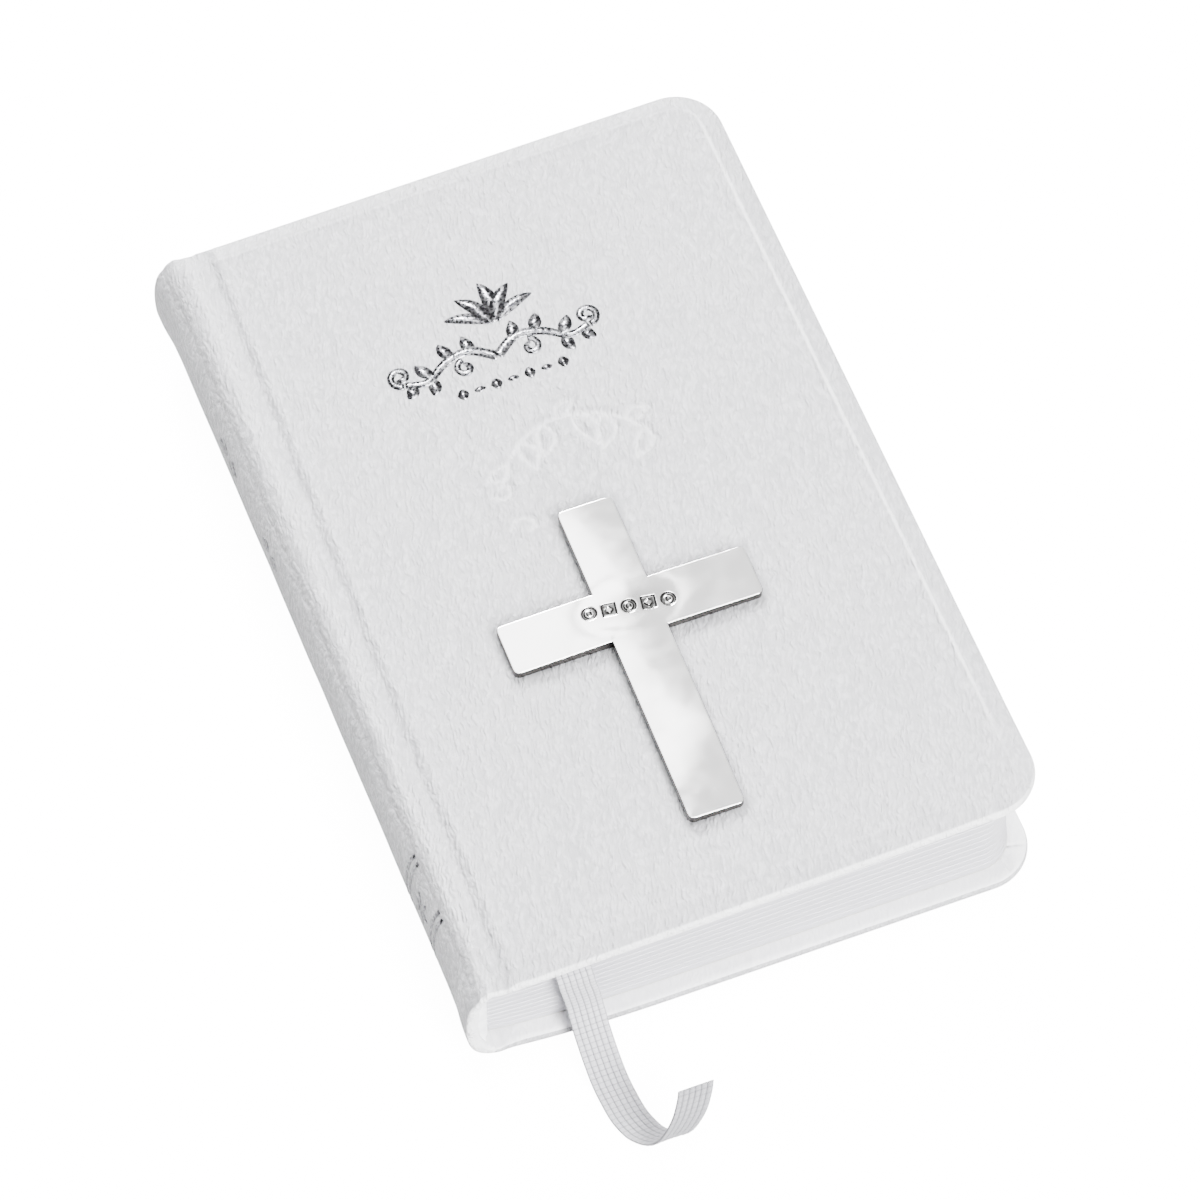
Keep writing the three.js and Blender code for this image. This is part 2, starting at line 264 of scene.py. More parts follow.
AZIMUTH, ELEVATION, ROLL = (math.radians(a) for a in (-20.917, 58.224, -0.293))
back = np.array([
    math.sin(AZIMUTH) * math.cos(ELEVATION),
    -math.cos(AZIMUTH) * math.cos(ELEVATION),
    math.sin(ELEVATION),
])
level = np.array([math.cos(AZIMUTH), math.sin(AZIMUTH), 0.0])
upward = np.cross(back, level)
right = level * math.cos(ROLL) + upward * math.sin(ROLL)
above = upward * math.cos(ROLL) - level * math.sin(ROLL)
camera_data = bpy.data.cameras.new("camera")
camera_data.lens = 203.53
camera_data.sensor_width = 36
camera_data.clip_start = 0.05
camera_data.clip_end = 20
camera = put("camera", camera_data)
camera.matrix_world = aimed(right, above, back, (-0.16104, -0.42425, 0.73297))
bpy.context.scene.camera = camera

# ---- Materials ----


class Look:
    """A procedural material, with short ways to add and link its nodes."""

    def __init__(self, name, **values):
        self.material = bpy.data.materials.new(name)
        self.material.use_nodes = True
        self.tree = self.material.node_tree
        self.shader = self.tree.nodes["Principled BSDF"]
        for socket, value in values.items():
            self.to(socket.replace("_", " "), value)

    def feed(self, socket, value):
        """Link a socket to another node's output, or give it a plain value."""
        if isinstance(value, bpy.types.NodeSocket):
            self.tree.links.new(value, socket)
        else:
            socket.default_value = value

    def add(self, kind, settings=(), **inputs):
        node = self.tree.nodes.new("ShaderNode" + kind)
        for key, value in dict(settings).items():
            setattr(node, key, value)
        for key, value in inputs.items():
            self.feed(node.inputs[key.replace("_", " ")], value)
        return node

    def to(self, socket, source):
        self.feed(self.shader.inputs[socket], source)

    def place(self, scale=(1, 1, 1), source="Object", rotation=(0, 0, 0)):
        """Texture coordinates in millimetres, times a scale along each axis."""
        coordinates = self.add("TexCoord").outputs[source]
        unit = 1000 if source == "Object" else 1
        return self.add(
            "Mapping", Vector=coordinates, Scale=[unit * s for s in scale],
            Rotation=rotation,
        ).outputs["Vector"]

    def noise(self, vector, scale, detail=3, rough=0.5, output="Fac"):
        return self.add(
            "TexNoise", Vector=vector, Scale=scale, Detail=detail, Roughness=rough,
        ).outputs[output]

    def ramp(self, value, low, high, to_low=0.0, to_high=1.0):
        return self.add(
            "MapRange", {"interpolation_type": "SMOOTHSTEP"}, Value=value,
            From_Min=low, From_Max=high, To_Min=to_low, To_Max=to_high,
        ).outputs["Result"]

    def math(self, operation, a, b=0.0):
        node = self.add("Math", {"operation": operation})
        self.feed(node.inputs[0], a)
        self.feed(node.inputs[1], b)
        return node.outputs[0]

    def times(self, a, b):
        return self.math("MULTIPLY", a, b)

    def plus(self, a, b):
        return self.math("ADD", a, b)

    def mix(self, factor, a, b):
        """Two colours, each another node's output or (red, green, blue), mixed by a factor."""
        node = self.add("Mix", {"data_type": "RGBA"})
        self.feed(node.inputs[0], factor)
        for number, colour in ((6, a), (7, b)):
            self.feed(node.inputs[number], (*colour, 1.0) if isinstance(colour, tuple) else colour)
        return node.outputs[2]

    def bump(self, height, depth, normal=None):
        """A normal bent by a height, whose full range is a depth in millimetres."""
        node = self.add("Bump", Height=height, Distance=depth * MM, Strength=1.0)
        if normal is not None:
            self.feed(node.inputs["Normal"], normal)
        return node.outputs["Normal"]

    def marked(self):
        """The amount that mark() gave each point of the mesh."""
        return self.add("Attribute", {"attribute_name": "painted_light_and_marks"}).outputs["Fac"]


def leather_look(name, grain, light, dark):
    """Soft grain: small pebbles drawn out along the book, painted shade in the grain's crevices, and painted shade and
    painted light from the mesh's marks.
    """
    look = Look(name, Sheen_Weight=0.1, Sheen_Roughness=0.4, Specular_IOR_Level=0.45)
    place = look.place()
    drift = look.noise(place, 0.3, 3, 0.55, "Color")
    bent = look.add("VectorMath", {"operation": "MULTIPLY_ADD"})
    for socket, value in zip(bent.inputs, (drift, (1.6, 1.6, 1.6), place)):
        look.feed(socket, value)
    drawn = look.add(
        "Mapping", {"vector_type": "TEXTURE"}, Vector=bent.outputs[0],
        Rotation=(0, 0, math.radians(-17)), Scale=(0.72, 1.9, 1.0),
    ).outputs["Vector"]
    cells = look.add(
        "TexVoronoi", {"feature": "SMOOTH_F1"}, Vector=drawn, Scale=1.7, Smoothness=0.5,
    ).outputs["Distance"]
    lines = look.noise(drawn, 0.85, 3, 0.55)
    fine = look.noise(drawn, 2.6, 3, 0.6)
    patch = look.noise(place, 0.08, 2)
    pores = look.noise(place, 6.0, 2)
    strength = look.ramp(patch, 0.35, 0.65, 0.6, 1.0)
    height = look.times(look.ramp(cells, 0.12, 0.7, 1.0, 0.0), strength)
    for layer, share in ((lines, 2.6), (fine, 0.8), (pores, 0.14)):
        height = look.plus(height, look.times(layer, share))
    look.to("Normal", look.bump(height, 0.15 * grain))
    # painted shade in the grain: crevices between the pebbles darker, their tops lighter
    folds = look.times(look.ramp(cells, 0.3, 0.75, 1.0, 0.0), look.ramp(lines, 0.34, 0.6, 0.4, 1.0))
    shade = look.mix(folds, dark, light)
    warm = (light[0] * 1.03, light[1] * 1.015, light[2] * 1.01)
    shade = look.mix(look.ramp(patch, 0.35, 0.7, 0, 0.3), shade, warm)
    painted_light_and_marks = look.marked()
    # painted shade: darker where the mesh's amount is above 0
    shade = look.mix(look.ramp(painted_light_and_marks, 0.0, 2.0), shade, tuple(0.5 * c for c in dark))
    # painted light: paler where the mesh's amount is below 0
    shade = look.mix(look.ramp(painted_light_and_marks, -1.0, 0.0, 1.0, 0.0), shade, (0.93, 0.93, 0.94))
    look.to("Base Color", shade)
    look.to("Roughness", look.ramp(lines, 0.3, 0.7, 0.42, 0.56))
    return look.material


def silver_look():
    """Polished silver with faint haze, fine wiping marks and slightly wavy flats; painted dark reflection and shade on
    its side walls and bevels, and darkening from the mesh's marks.
    """
    look = Look("silver", Metallic=1.0)
    place = look.place()
    haze = look.noise(place, 0.35, 3)
    wipes = look.noise(look.place((0.4, 9, 1), rotation=(0, 0, 0.6)), 1.2, 4)
    facing = look.add("NewGeometry").outputs["True Normal"]
    upright = look.add("SeparateXYZ", Vector=facing).outputs["Z"]
    face = look.mix(haze, (0.90, 0.89, 0.885), (0.965, 0.96, 0.955))
    # dark where the mesh's amount is high: the punched marks' wells, and a painted dim reflection round the crossing
    face = look.mix(look.ramp(look.marked(), 0.0, 1.0), face, (0.10, 0.10, 0.10))
    # painted dark reflection and shade: faces that don't face up, the side walls and bevels, are near black
    look.to("Base Color", look.mix(look.ramp(upright, 0.6, 0.96), (0.10, 0.095, 0.09), face))
    look.to("Roughness", look.plus(look.ramp(haze, 0.3, 0.75, 0.1, 0.17),
                                   look.ramp(wipes, 0.55, 0.8, 0.0, 0.06)))
    wavy = look.noise(place, 0.14, 2)
    look.to("Normal", look.bump(wipes, 0.0012, normal=look.bump(wavy, 0.04)))
    return look.material


def foil_look():
    """Silver foil stamped into the leather, painted near black as a painted dark reflection, with painted glints of
    grey where the grain noise runs high.
    """
    look = Look("foil", Metallic=1.0)
    place = look.place()
    grain = look.noise(place, 2.4, 4)
    painted_glints = look.ramp(grain, 0.35, 0.7)
    # painted dark reflection, with painted glints
    look.to("Base Color", look.mix(painted_glints, (0.07, 0.07, 0.08), (0.42, 0.42, 0.44)))
    look.to("Roughness", look.ramp(grain, 0.3, 0.7, 0.2, 0.36))
    look.to("Normal", look.bump(grain, 0.05))
    return look.material


def pages_look():
    """Thin paper, trimmed and silvered at the edges: fine lines of leaves along the block."""
    look = Look("pages", Metallic=0.35, Specular_IOR_Level=0.5)
    across = look.place((0.05, 1, 1), "UV")
    leaves = look.noise(across, 13.0, 4, 0.6)
    broad = look.noise(across, 1.4, 2)
    streak = look.noise(look.place((0.02, 1, 1), "UV"), 3.0, 3)
    base = look.mix(look.ramp(leaves, 0.3, 0.7), (0.56, 0.555, 0.60), (0.62, 0.615, 0.655))
    base = look.mix(look.ramp(streak, 0.4, 0.7, 0, 0.35), base, (0.68, 0.675, 0.70))
    look.to("Base Color", base)
    look.to("Roughness", look.ramp(broad, 0.3, 0.7, 0.38, 0.5))
    look.to("Normal", look.bump(leaves, 0.02, normal=look.bump(broad, 0.03)))
    return look.material


def paper_look(name, light, dark, fibre=1.0):
    """Plain paper or cloth: fine fibres over a faint cloudiness."""
    look = Look(name, Specular_IOR_Level=0.3)
    place = look.place()
    fibres = look.noise(look.place((1.6, 0.6, 1), rotation=(0, 0, 0.4)), 3.0, 5, 0.65)
    cloud = look.noise(place, 0.08, 2)
    base = look.mix(look.ramp(fibres, 0.35, 0.65), dark, light)
    look.to("Base Color", look.mix(look.ramp(cloud, 0.3, 0.7, 0, 0.3), base, light))
    look.to("Roughness", look.ramp(fibres, 0.2, 0.8, 0.78, 0.9))
    look.to("Normal", look.bump(fibres, 0.02 * fibre))
    return look.material


def ribbon_look():
    """Woven ribbon: close ribs along it, with the weft showing as fine bars between them; painted shade in the grooves
    between them, and on the face that is the end's underside.
    """
    look = Look("ribbon", Sheen_Weight=0.25, Sheen_Roughness=0.35, Specular_IOR_Level=0.4)
    place = look.place(source="UV")
    parts = look.add("SeparateXYZ", Vector=place)
    fuzz = look.noise(place, 2.2, 3)
    shifted = look.plus(parts.outputs["X"], look.times(fuzz, 0.06))
    rib = look.math("SINE", look.times(shifted, math.pi * RIBS / RIBBON_W))
    rib = look.ramp(look.math("ABSOLUTE", rib), 0.0, 0.55)
    bar = look.math("SINE", look.times(parts.outputs["Y"], math.pi / WEFT_PITCH))
    bar = look.ramp(look.math("ABSOLUTE", bar), 0.0, 0.5)
    thread = look.math("SINE", look.times(parts.outputs["Y"], math.pi * 9))
    height = look.plus(look.times(rib, 1.2), look.times(bar, 0.6))
    height = look.plus(height, look.times(thread, 0.12))
    # painted shade: the grooves between ribs and between weft bars are darker, the lit tops lighter
    lit = look.times(look.ramp(rib, 0.0, 1.0, 0.35, 1.0), look.ramp(bar, 0.0, 1.0, 0.5, 1.0))
    woven = look.mix(lit, (0.2, 0.2, 0.225), (0.58, 0.575, 0.605))
    # painted shade on one face: the end's underside, which shows where it curls up
    under = look.ramp(look.marked(), 0.3, 0.7, 0.0, 0.62)
    look.to("Base Color", look.mix(under, woven, (0.16, 0.16, 0.175)))
    look.to("Roughness", look.ramp(fuzz, 0.3, 0.7, 0.48, 0.64))
    look.to("Normal", look.bump(height, 0.07))
    return look.material


def board_look(name, light, dark):
    """Grey pulp board, speckled with fibres."""
    look = Look(name, Specular_IOR_Level=0.25)
    place = look.place()
    specks = look.noise(place, 2.2, 5, 0.7)
    fibres = look.noise(look.place((0.4, 2.4, 1)), 1.6, 4)
    base = look.mix(look.ramp(specks, 0.4, 0.65), dark, light)
    look.to("Base Color", look.mix(look.ramp(fibres, 0.5, 0.8, 0, 0.4), base, light))
    look.to("Roughness", look.ramp(specks, 0.3, 0.7, 0.84, 0.95))
    look.to("Normal", look.bump(specks, 0.04))
    return look.material


def floor_look():
    """Paper that is pure white to the camera and still reflects light onto the book."""
    look = Look("floor", Roughness=0.9, Specular_IOR_Level=0.1)
    paper_grain = look.noise(look.place(), 0.02, 2)
    look.to("Base Color", look.mix(paper_grain, (0.54, 0.54, 0.54), (0.56, 0.56, 0.56)))
    seen = look.add("LightPath").outputs["Is Camera Ray"]
    glow = look.add("Emission", Color=(1, 1, 1, 1), Strength=look.times(seen, 14.0))
    both = look.add("AddShader")
    look.feed(both.inputs[0], look.shader.outputs[0])
    look.feed(both.inputs[1], glow.outputs[0])
    look.feed(look.tree.nodes["Material Output"].inputs["Surface"], both.outputs[0])
    return look.material


LEATHER = leather_look("leather", 1.0, (0.56, 0.56, 0.582), (0.41, 0.41, 0.43))
# the same leather as the outside, made much paler: painted light on the turn-ins, the rounded edges' inner rings and
# the spine caps
LIT_INSIDE_LEATHER = leather_look("leather_inside", 0.28, (0.95, 0.95, 0.965), (0.88, 0.88, 0.90))
SILVER = silver_look()
FOIL = foil_look()
PAGES = pages_look()
PAPER = paper_look("paper", (0.70, 0.695, 0.67), (0.61, 0.605, 0.58))
RIBBON = ribbon_look()
BOARD = board_look("board", (0.46, 0.42, 0.36), (0.33, 0.30, 0.26))
CARD = board_look("card", (0.62, 0.59, 0.54), (0.50, 0.47, 0.42))
KRAFT = paper_look("kraft", (0.42, 0.29, 0.17), (0.33, 0.22, 0.12), 2.0)
MULL = paper_look("mull", (0.76, 0.72, 0.62), (0.60, 0.56, 0.46), 4.0)
THREAD = paper_look("thread", (0.82, 0.79, 0.71), (0.66, 0.62, 0.54), 4.0)
GLUE = paper_look("glue", (0.70, 0.66, 0.55), (0.62, 0.58, 0.47))

# ---- Shape of the book ----


def drop(x):
    """How far the front cover slopes down towards the spine."""
    return FRONT_SLOPE * (FORE_X - x)


def rise(x):
    """How far the back cover curls up towards the spine."""
    return CURL_RISE * (np.maximum(CURL_FROM - x, 0) / CURL_RUN) ** CURL_POWER


def settled(x, z):
    """Height of a level of the flat book once it follows both covers."""
    share = np.clip((z - CASE_T) / (THICK - 2 * CASE_T), 0, 1)
    return z + (1 - share) * rise(x) - share * drop(x)


ROUND_TOP = THICK - drop(ROUND_X)
ROUND_LOW = float(rise(ROUND_X))
ROUND_Z = (ROUND_TOP + ROUND_LOW) / 2
ROUND_HALF = (ROUND_TOP - ROUND_LOW) / 2


def rounding(angle, depth=0.0):
    """A place on the rounded spine's section, at a depth inside it."""
    power = 2 / SPINE_ROUND
    reach = SPINE_DEPTH - depth
    height = np.sign(angle) * np.abs(np.sin(angle)) ** power
    return ROUND_X - reach * np.cos(angle) ** power, ROUND_Z + (ROUND_HALF - depth) * height


def angle_at(x):
    return math.acos(((ROUND_X - x) / SPINE_DEPTH) ** (SPINE_ROUND / 2))


def smooth(value, low, high):
    """From 0 at low to 1 at high, with soft ends."""
    t = np.clip((value - low) / (high - low), 0, 1)
    return t * t * (3 - 2 * t)


def bell(value, width):
    """1 where the value is 0, falling off on both sides over about a width."""
    return np.exp(-(value / width) ** 2)


def waves(x, y, length, seed, count=14):
    """Soft irregular relief between about -1 and 1, of a given wavelength."""
    chance = np.random.default_rng(seed)
    total = np.zeros(np.broadcast(x, y).shape)
    for _ in range(count):
        turn, phase = chance.uniform(0, 2 * math.pi, 2)
        size = length * chance.uniform(0.6, 1.6)
        total += np.sin(2 * math.pi * (x * math.cos(turn) + y * math.sin(turn)) / size + phase)
    return total / math.sqrt(count)


def rounded(a, b):
    """Places in a square corner, from 0 to 1 along each side, moved onto a quarter disc."""
    return a * np.sqrt(np.maximum(1 - b**2 / 2, 0)), b * np.sqrt(np.maximum(1 - a**2 / 2, 0))


def edge_distance(x, y):
    """How far a place on a cover is inside its free edges."""
    over_x, over_y = x - LOW_X, np.abs(y) - LOW_Y
    corner = COVER_CORNER - np.hypot(over_x, over_y)
    straight = np.minimum(FORE_X - x, HALF_H - np.abs(y))
    return np.where((over_x > 0) & (over_y > 0), corner, straight)


def quads(index):
    """The faces between neighbours in a grid of point numbers."""
    a, b, c, d = index[:-1, :-1], index[:-1, 1:], index[1:, 1:], index[1:, :-1]
    return np.stack([a, b, c, d], -1).reshape(-1, 4).tolist()


def build(name, points, faces, material, uv=None):
    """A mesh object from points in millimetres, with its faces turned outwards."""
    mesh = bpy.data.meshes.new(name)
    mesh.from_pydata((np.asarray(points, float) * MM).tolist(), [], faces)
    obj = put(name, mesh)
    work = bmesh.new()
    work.from_mesh(mesh)
    bmesh.ops.recalc_face_normals(work, faces=work.faces)
    work.to_mesh(mesh)
    work.free()
    mesh.polygons.foreach_set("use_smooth", [True] * len(mesh.polygons))
    if uv is not None:
        layer = mesh.uv_layers.new(name="uv")
        corners = np.zeros(len(mesh.loops), int)
        mesh.loops.foreach_get("vertex_index", corners)
        layer.data.foreach_set("uv", np.asarray(uv, float)[corners].ravel())
    mesh.materials.append(material)
    return obj


def mark(obj, amount):
    """Give each point an amount for its material, such as how much painted shade or painted light it takes."""
    obj.data.attributes.new("painted_light_and_marks", "FLOAT", "POINT").data.foreach_set("value", amount)


# ---- Blind-stamped sprig, as lines on the front cover ----


def curve(points, step=0.25):
    """A smooth line through points, with a point every so often."""
    points = np.asarray(points, float)
    ends = np.vstack([2 * points[0] - points[1], points, 2 * points[-1] - points[-2]])
    out = []
    for a, b, c, d in zip(ends, ends[1:], ends[2:], ends[3:]):
        count = max(2, int(np.linalg.norm(c - b) / step))
        for t in np.linspace(0, 1, count, endpoint=False):
            out.append(0.5 * (2 * b + (c - a) * t + (2 * a - 5 * b + 4 * c - d) * t**2
                              + (3 * b - a - 3 * c + d) * t**3))
    out.append(points[-1])
    return np.array(out)


def leaf(base, heading, length, width, bow=0.18):
    """The outline of a pointed leaf, as a closed line."""
    side = np.linspace(0, 1, 9)
    swell = width * np.sin(math.pi * side**0.85) / 2
    middle = bow * length * np.sin(math.pi * side) / 2
    edge = np.concatenate([
        np.stack([length * side, middle + swell], 1),
        np.stack([length * side, middle - swell], 1)[::-1],
    ])
    c, s = math.cos(heading), math.sin(heading)
    return np.asarray(base) + edge @ np.array([[c, s], [-s, c]])


def sprig_lines():
    """A stem with eight leaves, and a small bud and curl beside its foot."""
    stem = [(-8.2, 9.2), (-5.6, 13.0), (-1.6, 15.6), (3.2, 15.9), (8.0, 14.0), (11.6, 10.2)]
    lines = [curve(stem)]
    for (x, y), heading, length, width in [
        ((-6.6, 11.6), 200, 3.4, 1.9), ((-4.2, 14.2), -80, 4.4, 2.2),
        ((-0.6, 15.8), -105, 4.6, 2.2), ((1.6, 16.0), 35, 3.2, 1.6),
        ((3.6, 15.8), -75, 5.4, 2.4), ((7.2, 14.4), -110, 5.0, 2.2),
        ((9.6, 12.6), 10, 3.2, 1.6), ((11.4, 10.4), -125, 4.4, 2.0),
    ]:
        lines.append(curve(leaf((x, y), math.radians(heading), length, width)))
    lines.append(curve([(-9.9, 7.9), (-8.8, 7.2), (-7.7, 7.8), (-7.9, 9.0), (-8.8, 8.9)]))
    lines.append(curve([(-9.6, 2.6), (-8.4, 3.8), (-7.0, 3.4), (-6.6, 2.2), (-7.6, 1.8)]))
    return np.vstack(lines)


SPRIG = sprig_lines()


def sprig_depth(x, y):
    """Grooves along the sprig's lines, with a soft rim on each side."""
    x, y = np.broadcast_arrays(x, y)
    depth = np.zeros(x.shape)
    near = (x > -13) & (x < 16) & (y > -1) & (y < 20)
    if near.any():
        places = np.stack([x[near], y[near]], 1)
        away = np.sqrt(((places[:, None] - SPRIG[None]) ** 2).sum(2).min(1))
        depth[near] = 0.34 * bell(away, 0.42) - 0.12 * bell(away - 1.0, 0.4)
    return depth


# ---- Relief of the covers, as a depth inwards from their plain surface ----

BORDER_W = 3.1          # sunk border along the free edges, and the ridge at its inner side
RIDGE_IN = 2.9
FRONT_GROOVE_X = -32.1
GROOVE_SLANT = 0.0149
BACK_GROOVE_X = -32.6
CREASE_X = -36.75       # along the spine's shoulder


def crossed(x, y):
    """A place on the front cover, seen from the middle of the cross's arms."""
    dx, dy = x - CROSS_X, y - CROSS_ARM
    c, s = math.cos(CROSS_TURN), math.sin(CROSS_TURN)
    return dx * c + dy * s, dy * c - dx * s


def cross_distance(x, y):
    """How far inside the cross's outline a place is, in the cross's own axes; negative outside."""
    bar, arm = CROSS_BAR / 2, CROSS_W / 2
    top = CROSS_TOP - CROSS_ARM
    upright = np.minimum(bar - np.abs(x), np.minimum(top - y, y - top + CROSS_H))
    arms = np.minimum(arm - np.abs(x), bar - np.abs(y))
    return np.maximum(upright, arms)


def edge_band(s):
    return np.clip(1 - s / BORDER_W, 0, 1) ** 1.2


def ridge_fade(x, y):
    """The border's ridge fades out at the corner by fore edge and tail, and at the joint."""
    corner = np.exp(-((x - 36) / 11) ** 2 - ((y + 56) / 12) ** 2)
    return corner, (1 - 0.8 * corner) * smooth(x, -32, -29)


def beside_groove(x, y):
    """How far a place is from the groove at the front joint, towards the fore edge."""
    return x - (FRONT_GROOVE_X + GROOVE_SLANT * y)


def front_relief(x, y, s):
    """Border sunk along the edges, groove at the joint, soft waves and the stamped sprig."""
    corner, fading = ridge_fade(x, y)
    tail = smooth(-y, 50, 56)
    depth = 0.75 * edge_band(s) * (1 - 0.3 * tail) * (1 - 0.6 * corner)
    depth += (0.08 * bell(s - 2.1, 0.3) - 0.15 * bell(s - RIDGE_IN, 0.36)) * fading
    beside = beside_groove(x, y)
    depth += (0.5 - 0.15 * tail) * bell(beside, 0.75 + 0.5 * tail)
    depth += 0.16 * bell(beside + 1.8, 1.2) - 0.16 * bell(beside - 1.6, 0.7)
    inside = smooth(s, 1.0, 8.0) * smooth(x, -34, -26)
    depth += inside * (0.05 * waves(x, y, 24, 3) + 0.016 * waves(x, y, 6.5, 4))
    depth += smooth(s, 0.5, 3) * 0.006 * waves(x, y * 0.55, 2.4, 8, 24)
    depth += 0.05 * smooth(cross_distance(*crossed(x, y)), -2.6, -0.2)
    above_board = 0.6 + 0.4 * smooth(-x, 32.2, 33.0)
    return np.minimum(depth, above_board) + sprig_depth(x, y)


def front_painted_light_and_marks(x, y, s):
    """How much the front leather is darkened (above 0) or made paler (below 0): painted shade, painted highlights, a
    painted shadow round the cross, and the sprig's lines.
    """
    shown = ridge_fade(x, y)[1]
    fore = smooth(x, 28, 33) * smooth(FORE_X - x, 5, 3) * (1 - smooth(np.abs(y), 48, 54) * 0.6)
    tail, head = smooth(-y, 50, 55), smooth(y, 50, 55)
    outside = smooth(2.7 - s, 0, 0.5)
    # painted shade on the border band outside the ridge at the fore edge and tail, painted light on it at the head
    amount = shown * outside * (0.45 * fore + 0.12 * tail - 0.25 * head)
    # painted highlight along the border's ridge
    amount -= shown * bell(s - RIDGE_IN, 0.28) * (0.7 * fore + 0.2 * tail + 0.3 * head)
    # painted shade in a thin line inside the ridge
    amount += shown * 0.22 * bell(s - 4.4, 0.6)
    beside = beside_groove(x, y)
    # painted shade in the joint's groove, painted light on the strip beside it
    amount += 0.5 * bell(beside, 0.6) - 0.28 * bell(beside + 2.2, 1.1)
    # painted shade along the shoulder's crease, painted light just past the groove
    amount += 0.4 * bell(x - CREASE_X, 0.45) - 0.2 * bell(beside - 1.5, 0.6)
    # painted highlight along the thin tail edge
    amount -= smooth(0.42 - s, 0, 0.2) * (1 - fore) * (1 - head)
    # the stamped sprig's grooves made paler and its rims darker
    amount -= 0.42 * np.clip(sprig_depth(x, y) / 0.3, -1, 1)
    # painted shadow round the cross
    return amount + 1.3 * bell(cross_distance(*crossed(x, y)) + 0.15, 0.65)


def back_relief(x, y, z, s):
    depth = 0.1 * edge_band(s) + 0.06 * bell(x - BACK_GROOVE_X, 0.7)
    return depth + smooth(s, 1, 6) * 0.02 * (1 + waves(x, y, 22, 13))


def back_painted_shade(x, y, s):
    # painted shade along the back joint's groove
    return 0.12 * bell(x - BACK_GROOVE_X, 0.8)


def spine_relief(x, y, z):
    """The crease along the shoulder, faint folds, and leather that flares out at head and tail."""
    end = HALF_H - np.abs(y)
    flare = -0.48 * (1 - smooth(end, 0.5, 9.0)) * smooth(-x, 35.4, 37.4)
    upper = smooth(z, ROUND_Z + 3.5, ROUND_Z + 6.0)
    crease = 0.2 * upper * bell(x - CREASE_X, 0.3)
    waist = 0.09 * bell(end - 5.0, 1.6) * smooth(-x, 35.6, 37.2)
    return flare + crease + waist + 0.025 * waves(z * 1.2, y, 14, 21) * smooth(-x, 35.3, 36.5)


def front_surface(x, y):
    """Height of the front cover's outer face."""
    return THICK - drop(x) - front_relief(x, y, edge_distance(x, y))


# ---- Leather of the case: outside, rounded edges and turned-in inside as one closed skin ----

EDGE_STEPS = [0, 0.04, 0.1, 0.19, 0.31, 0.45, 0.62, 0.82, 1.05, 1.35, 1.7, 2.1, 2.45, 2.75, 3.0,
              3.2, 3.4, 3.65, 4.0, 4.5, 5.1, 5.8, 6.5]
PLEATS = [(0.30, 0.5), (0.70, -0.35)]        # place along the corner's arc, and slant
LEATHER_T = 1.15        # thickness where the case bends, less under the pastedown, more at the board
UNDER_PASTE_T = 0.8
BOARDED_T = 0.95
WRAP_RINGS = 3          # rings of the rounded edge that look like the outside


def stations(low, high, step, fine=()):
    """Places from low to high, closer together in the fine ranges (from, to, step)."""
    places, at = [low], low
    while at < high - 1e-6:
        pace = step
        for start, stop, close in fine:
            if start <= at < stop:
                pace = close
        at = min(at + pace, high)
        places.append(at)
    if len(places) > 2 and places[-1] - places[-2] < 0.3 * step:
        places.pop(-2)
    return places


def row_stations(step, fine=()):
    inner = stations(-LOW_Y, LOW_Y, step, fine)
    ends = [HALF_H - s for s in EDGE_STEPS[:-1]]
    return np.array([-y for y in ends] + inner + ends[::-1])


def panel_stations(step, fine=()):
    inner = stations(BOARD_X, LOW_X, step, fine)
    return np.array(inner + [FORE_X - s for s in EDGE_STEPS[:-1]][::-1])


